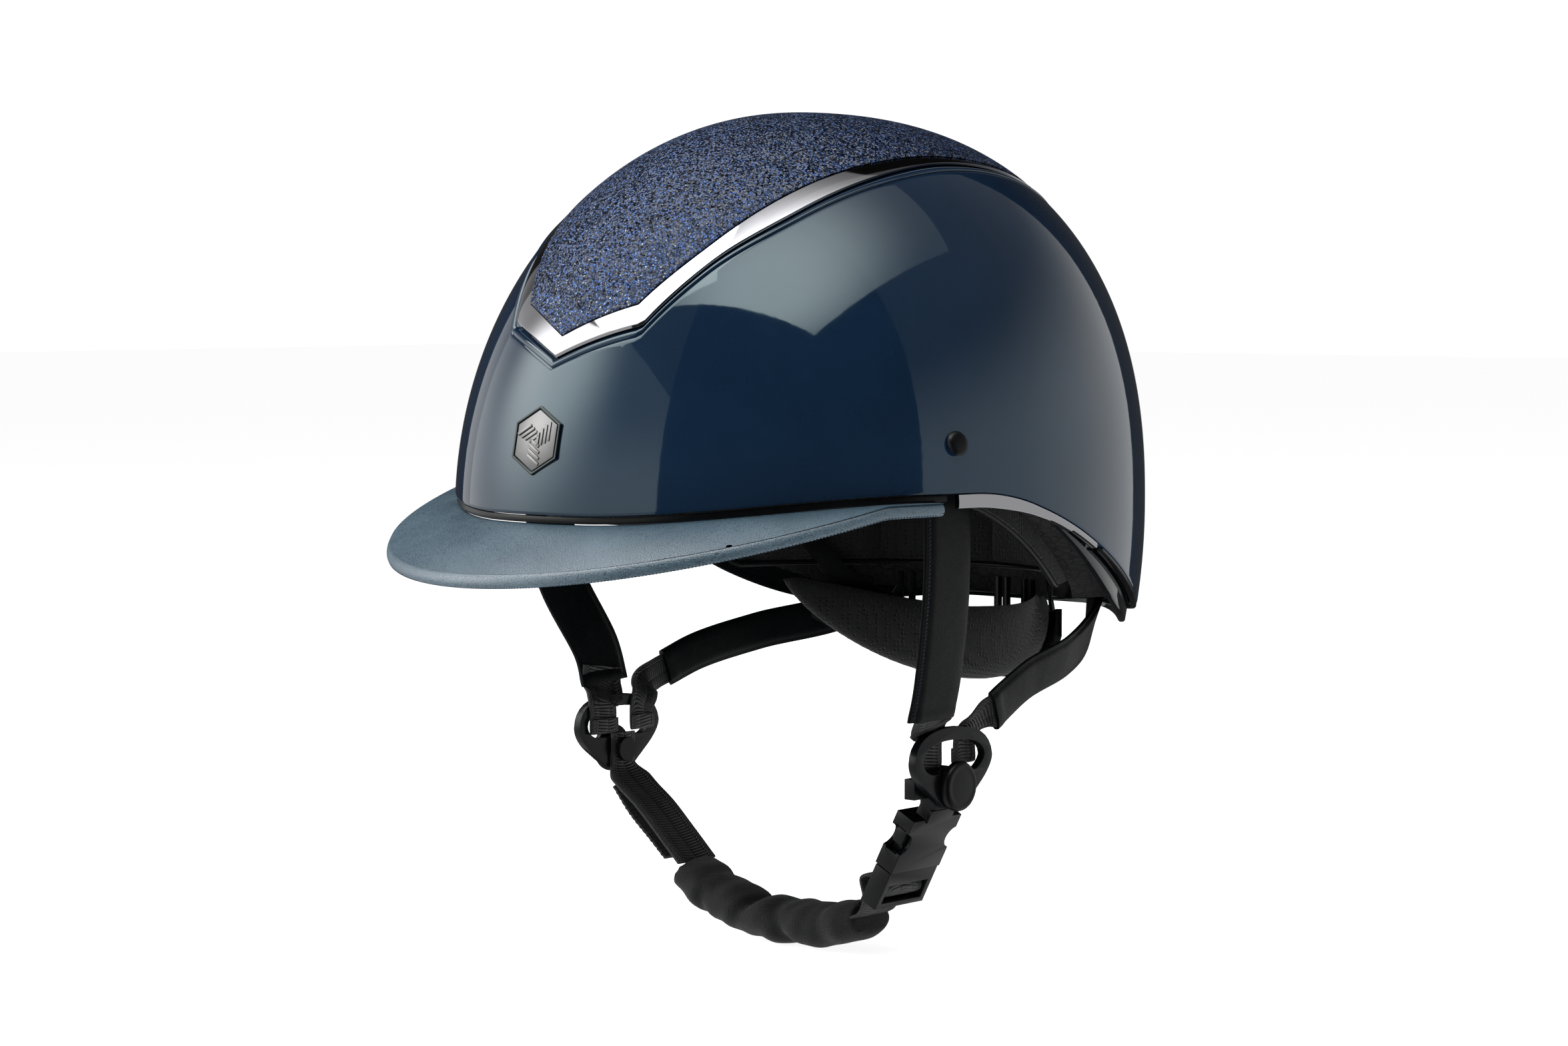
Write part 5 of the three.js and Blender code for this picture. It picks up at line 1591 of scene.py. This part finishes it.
def on_buckle(x: float, y: float, z: float) -> Vector:
    """A point of the buckle's own frame, which leans inwards, in the helmet's frame."""
    c, s = math.cos(BUCKLE_LEAN), math.sin(BUCKLE_LEAN)
    return BUCKLE_AT + Vector((x * c + z * s, y, z * c - x * s))


@dataclass
class Buckle:
    """The side-release buckle on the wearer's left, and the two pivot buttons."""

    palette: Palette
    ring_outer: float = 78.6

    def build(self) -> None:
        """Round the mouldings' edges and turn the buttons."""
        parts = (
            ("buckle_female", "buckle_socket", Body.CHIN_YOKE, 0.55),
            ("buckle_male", "buckle_plug", Body.CHIN_STRAP, 0.5),
            ("prong_rear", "spring_prong_rear", Body.PRONG_REAR, 0.4),
            ("prong_front", "spring_prong_front", Body.PRONG_FRONT, 0.4),
        )
        for node, name, body, radius in parts:
            settle(softened(node, name, radius, 3), body, self.palette.smooth_plastic)
        for side in Side:
            self._button(side)

    def _button(self, side: Side) -> None:
        """A pivot button: flat disc with a rolled edge and a faint dish."""
        depth = 10.2 if side is Side.LEFT else 5.5
        flange = [(0.0, -1.4), (4.2, -1.4), (4.4, -1.2), (4.4, 0.0), (2.3, 0.0)]
        profile = [(radius, -depth + along) for radius, along in flange]
        profile += [(2.3, 0.0), (8.2, 0.0), (8.5, 0.35), (8.5, 1.5), (8.35, 2.1), (7.9, 2.7), (7.2, 3.0)]
        profile += [(6.6, 3.02), (6.3, 2.92), (5.0, 3.05), (2.5, 3.15), (0.0, 3.18)]
        start = Vector((side.value * (self.ring_outer + 0.3), PIVOT_Y, -90))
        piece = turned(f"pivot_disc_{side.word}", profile, start, Vector((side.value, 0, 0)), 72, 30)
        node = f"pivot_button_{side.word}"
        settle(piece, Body.CHIN_YOKE, self.palette.plastic, (node,))


@dataclass
class ChinStrap:
    """The chin webbing, its padded sleeve and the hook-tape tail."""

    palette: Palette
    web: float = 1.3
    pad_path: tuple[Pair, ...] = (
        (-40, -130.5), (-28, -137.5), (-13, -142), (4, -144), (20, -143.6), (33, -141), (42, -138.4)
    )  # fmt: skip

    def build(self) -> None:
        """Make the chin strap's pieces."""
        self._right_web()
        self._buckle_web()
        self._pad()
        self._tail()

    def _right_web(self) -> None:
        """One webbing from the right pivot button to the pad."""
        x = -74.5
        knots = (
            (x, -84.0), (x, -90), (x, -95.8), (-68.2, -102), (-59, -108.6), (-49, -117.5), (-38.5, -127.2)
        )  # fmt: skip
        path = Path(tuple((a, PIVOT_Y, b) for a, b in knots))
        width = flat_section(lambda t: lerp(12, 20, smoothstep(t, 0.17, 0.3)), self.web)
        web = strip("chin_webbing_right", path, fore_aft, width, 90, 32, 20)
        web.data.materials.append(self.palette.webbing)
        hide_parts("chin_web_upper", "chin_web_lower")
        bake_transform(web)

    def _buckle_web(self) -> None:
        """Webbing round the plug's bar and down to the pad."""
        bar, r = -9.3, 2.25
        loop = [on_buckle(-5, 0, bar - r)]
        for i in range(7):
            a = math.pi * (i / 6 - 0.5)
            loop.append(on_buckle(r * math.cos(a), 0, bar + r * math.sin(a)))
        loop.append(on_buckle(-5.5, 0, bar + r))
        into_pad = ((45.6, -123.5), (46.8, -130.5), (44.4, -136.0), (38.0, -138.8))
        loop += [Vector((x, PIVOT_Y, z)) for x, z in into_pad]
        path = Path(tuple(tuple(p) for p in loop))
        web = strip("chin_webbing_left", path, fore_aft, flat_section(lambda t: 20.0, self.web), 90, 32, 20)
        settle(web, Body.CHIN_STRAP, self.palette.webbing, ("buckle_web",))

    def _pad(self) -> None:
        """The knitted sleeve, gathered into folds."""
        path = Path(tuple((x, PIVOT_Y, z) for x, z in self.pad_path))
        folds = ((0.17, 0.30, 0.9), (0.38, 0.42, -1.0), (0.60, 0.34, 1.1), (0.81, 0.30, -0.7))

        def section(u: float, t: float) -> Pair:
            """An oval that dips at each slanting fold and tucks in at its ends."""
            a, b = strip_section(u, 11.7, 7.3, 2.3)
            around = math.sin(2 * math.pi * u)
            dip = 0.0
            for at, depth, slant in folds:
                off = (t - at - 0.035 * slant * around) / 0.028
                facing = 0.55 + 0.45 * math.cos(2 * math.pi * (u - 0.25 * slant))
                dip += depth * math.exp(-off * off) * facing
            swell = 0.05 * math.sin(2 * math.pi * (5.3 * t + u))
            swell += 0.03 * math.sin(2 * math.pi * (9.1 * t - 2 * u))
            ends = 0.80 + 0.20 * min(1.0, 1 - (abs(2 * t - 1)) ** 9)
            scale = (1 - dip + swell) * ends
            return a * (0.5 + 0.5 * scale), b * scale

        pad = strip("chin_pad_sleeve", path, fore_aft, section, 150, 64, 24)
        plumped(pad, 0.0012, 0.0012)
        settle(pad, Body.CHIN_STRAP, self.palette.sleeve, ("chin_pad",))

    def _tail(self) -> None:
        """The hook-tape tail that lies outside the right webbing."""
        knots = ((-70.5, -102.5), (-62.5, -111.5), (-53, -119.5), (-45.5, -126))
        path = Path(tuple((x, PIVOT_Y, z) for x, z in knots))

        def section(u: float, t: float) -> Pair:
            """A flat section with a slightly ragged width."""
            ragged = 9.4 + 0.16 * math.sin(95 * t) + 0.1 * math.sin(160 * t + 1)
            return strip_section(u, ragged, 0.75, 7)

        tail = strip("hook_tape_tail", path, fore_aft, section, 80, 28, 19)
        settle(tail, Body.CHIN_STRAP, self.palette.hooks, ("hook_tail",))


# ------------------------------------------------------------------ nape cradle


@dataclass
class Cradle:
    """The nape pad on its frame, the dial behind it and the side bands."""

    palette: Palette
    half_width: float = 68.0
    centre_y: float = 28.0
    reach: float = 66.0

    def build(self) -> None:
        """Make the pad and round the mouldings' edges."""
        self._pad()
        parts = (
            ("nape_frame", "cradle_frame", Body.CRADLE, 0.4),
            ("dial_housing", "dial_tray", Body.CRADLE, 0.45),
            ("fit_dial", "fit_knob", Body.DIAL, 0.3),
            ("dial_pinion", "knob_pinion", Body.DIAL, 0.12),
            ("side_band_left", "fit_band_left", Body.BAND_LEFT, 0.25),
            ("side_band_right", "fit_band_right", Body.BAND_RIGHT, 0.25),
            ("temple_pin_left", "band_pin_left", Body.HELMET, 0.3),
            ("temple_pin_right", "band_pin_right", Body.HELMET, 0.3),
        )
        for node, name, body, radius in parts:
            settle(softened(node, name, radius, 2), body, self.palette.smooth_plastic)
        screw = softened("dial_screw", "knob_screw", 0.15, 2)
        settle(screw, Body.CRADLE, self.palette.steel)

    def _pad(self) -> None:
        """The crescent pad: crowned towards the head, thin at its horns."""

        def section(u: float, t: float) -> tuple[float, float]:
            """Offset outwards and height for u round the pad and t along it."""
            end = (2 * t - 1) ** 2
            middle = lerp(-54.0, -32.0, end)
            half = lerp(14.0, 3.2, end**1.15)
            thick = lerp(6.0, 2.6, end)
            tip = 1 - abs(2 * t - 1) ** 16
            z, off = strip_section(u, half, thick, 2.6)
            return off * (0.3 + 0.7 * tip), middle + z * (0.35 + 0.65 * tip)

        def place(u: float, v: float) -> Vector:
            """The pad's point."""
            off, z = section(u, v)
            a = math.radians(lerp(-60.5, 60.5, v))
            x = (self.half_width + off) * math.sin(a)
            return Vector((x, self.centre_y + (self.reach + off) * math.cos(a), z))

        pad = patch("nape_cushion", 56, 170, place, caps=True, smooth_angle=60)
        plumped(pad, 0.0016, 0.0018)
        settle(pad, Body.CRADLE, self.palette.mesh, ("nape_pad",))


# ------------------------------------------------------------------ studio


@dataclass(frozen=True)
class Softbox:
    """A rectangular studio light that is brightest at one place and fades away from it."""

    name: str
    place: tuple[float, float, float]
    aim: tuple[float, float, float]
    size: Pair
    radiance: float
    hot: tuple[float, float, float]
    reach: float
    roll: float = 0.0
    edge: float = 0.05

    def build(self) -> None:
        """Make the light."""
        data = bpy.data.lights.new(self.name, "AREA")
        data.shape = "RECTANGLE"
        data.size, data.size_y = self.size
        data.energy = self.radiance * math.pi * self.size[0] * self.size[1]
        data.use_nodes = True
        n = Nodes(data.node_tree)
        offset = n.vector("SUBTRACT", n.add("NewGeometry").outputs["Position"], Vector(self.hot))
        away = n.add("VectorMath", {0: offset}, operation="LENGTH").outputs["Value"]
        near = n.maths("POWER", n.spread(away, 0.0, self.reach, 1.0, 0.0), 2.0)
        glow = n.add("Emission", {"Strength": n.spread(near, 0.0, 1.0, self.edge, 1.0)})
        n.add("OutputLight", {"Surface": glow.outputs[0]})
        lamp = bpy.data.objects.new(self.name, data)
        lamp.location = self.place
        way = Vector(self.aim) - Vector(self.place)
        lamp.rotation_mode = "QUATERNION"
        roll = Quaternion((0, 0, 1), math.radians(self.roll))
        lamp.rotation_quaternion = way.to_track_quat("-Z", "Y") @ roll
        lamp.visible_camera = False
        bpy.context.scene.collection.objects.link(lamp)


@dataclass(frozen=True)
class Studio:
    """The pale floor, the soft lights and the camera."""

    azimuth: float = 40.654
    elevation: float = 3.74
    distance: float = 1.3
    shift_right: float = -0.005154
    shift_up: float = -0.005258
    lights: tuple[Softbox, ...] = (
        Softbox("top_box", (0.41, 0.0, 1.2), (0.41, 0.0, 0), (1.4, 1.4), 5.2, (0.6, -0.45, 1.2), 1.75, 20),
        Softbox(
            "front_box", (-0.407, -0.366, 1.124), (0, 0, 0), (1.3, 0.75), 4.5,
            (-0.407, -0.366, 1.124), 2.2,
        ),
        Softbox(
            "left_box", (-0.739, -0.946, 0.585), (0, 0, 0.585), (3.7, 1.41), 4.6,
            (-0.857, -0.853, 0.75), 1.6, edge=0.08,
        ),
    )
    screens: tuple[Pair, ...] = ((61.0, 42.0), (-140.0, 31.0))

    def build(self) -> None:
        """Make the studio."""
        low = CAD_BOX[0].z - 0.0006
        bm = bmesh.new()
        place = Matrix.Translation((0, 0, low))
        bmesh.ops.create_grid(bm, x_segments=1, y_segments=1, size=FLOOR_REACH, matrix=place)
        floor = to_object(bm, "studio_floor")
        material = bpy.data.materials.new("pale_floor")
        material.use_nodes = True
        shader = material.node_tree.nodes["Principled BSDF"]
        shader.inputs["Base Color"].default_value = (0.8, 0.8, 0.8, 1)
        shader.inputs["Roughness"].default_value = 0.8
        shader.inputs["Specular IOR Level"].default_value = 0.2
        shader.inputs["Emission Color"].default_value = (1, 1, 1, 1)
        shader.inputs["Emission Strength"].default_value = 0.88
        floor.data.materials.append(material)
        floor.visible_glossy = False
        floor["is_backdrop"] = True
        for light in self.lights:
            light.build()
        self._world()
        self._camera()

    def _world(self) -> None:
        """White behind the object; in reflections, a pale low surround, darker above and at one side."""
        world = bpy.data.worlds.new("studio_world")
        bpy.context.scene.world = world
        world.use_nodes = True
        n = Nodes(world.node_tree)
        way = n.add("TexCoord").outputs["Generated"]
        flat = n.vector("NORMALIZE", n.vector("MULTIPLY", way, Vector((1, 1, 0))))
        shade = n.spread(n.add("SeparateXYZ", {0: way}).outputs["Z"], 0.1, 0.5, 0.72, 0.13)
        for middle_turn, half in self.screens:
            turn = math.radians(middle_turn)
            middle = Vector((math.sin(turn), -math.cos(turn), 0))
            facing = n.add("VectorMath", {0: flat, 1: middle}, operation="DOT_PRODUCT").outputs["Value"]
            lit = n.maths("LESS_THAN", facing, math.cos(math.radians(half)))
            shade = n.maths("MULTIPLY", shade, n.spread(lit, 0.0, 1.0, 0.05, 1.0))
        seen = n.add("LightPath").outputs["Is Camera Ray"]
        strength = n.maths("MAXIMUM", shade, n.maths("MULTIPLY", seen, 1.05))
        back = n.add("Background", {"Color": (1, 1, 1, 1), "Strength": strength})
        n.add("OutputWorld", {"Surface": back.outputs[0]})
        bpy.context.scene.view_settings.view_transform = "Standard"

    def _camera(self) -> None:
        """The camera at the front left, a little above the brim."""
        a, e = math.radians(self.azimuth), math.radians(self.elevation)
        back = Vector((math.sin(a) * math.cos(e), -math.cos(a) * math.cos(e), math.sin(e)))
        right = Vector((math.cos(a), math.sin(a), 0))
        data = bpy.data.cameras.new("camera")
        data.lens, data.sensor_width, data.sensor_fit = 85, 36, "HORIZONTAL"
        data.clip_start, data.clip_end = 0.05, 50
        camera = bpy.data.objects.new("camera", data)
        camera.location = back * self.distance + right * self.shift_right + back.cross(right) * self.shift_up
        camera.rotation_mode = "QUATERNION"
        camera.rotation_quaternion = (-back).to_track_quat("-Z", "Y")
        bpy.context.scene.collection.objects.link(camera)
        bpy.context.scene.camera = camera


def main() -> None:
    """Build the helmet and its studio, and log each new piece's faces."""
    logging.basicConfig(level=logging.INFO, format="%(message)s")
    palette = Palette()
    Studio().build()
    for part in (
        Shell(palette),
        Crown(palette),
        Badge(palette),
        Peak(palette),
        Liner(palette),
        Harness(palette),
        Buckle(palette),
        ChinStrap(palette),
        Cradle(palette),
    ):
        before = {piece.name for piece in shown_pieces()}
        part.build()
        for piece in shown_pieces():
            if piece.name not in before:
                LOG.info("%s: %s, %d faces", type(part).__name__, piece.name, len(piece.data.polygons))


if __name__ == "__main__":
    main()
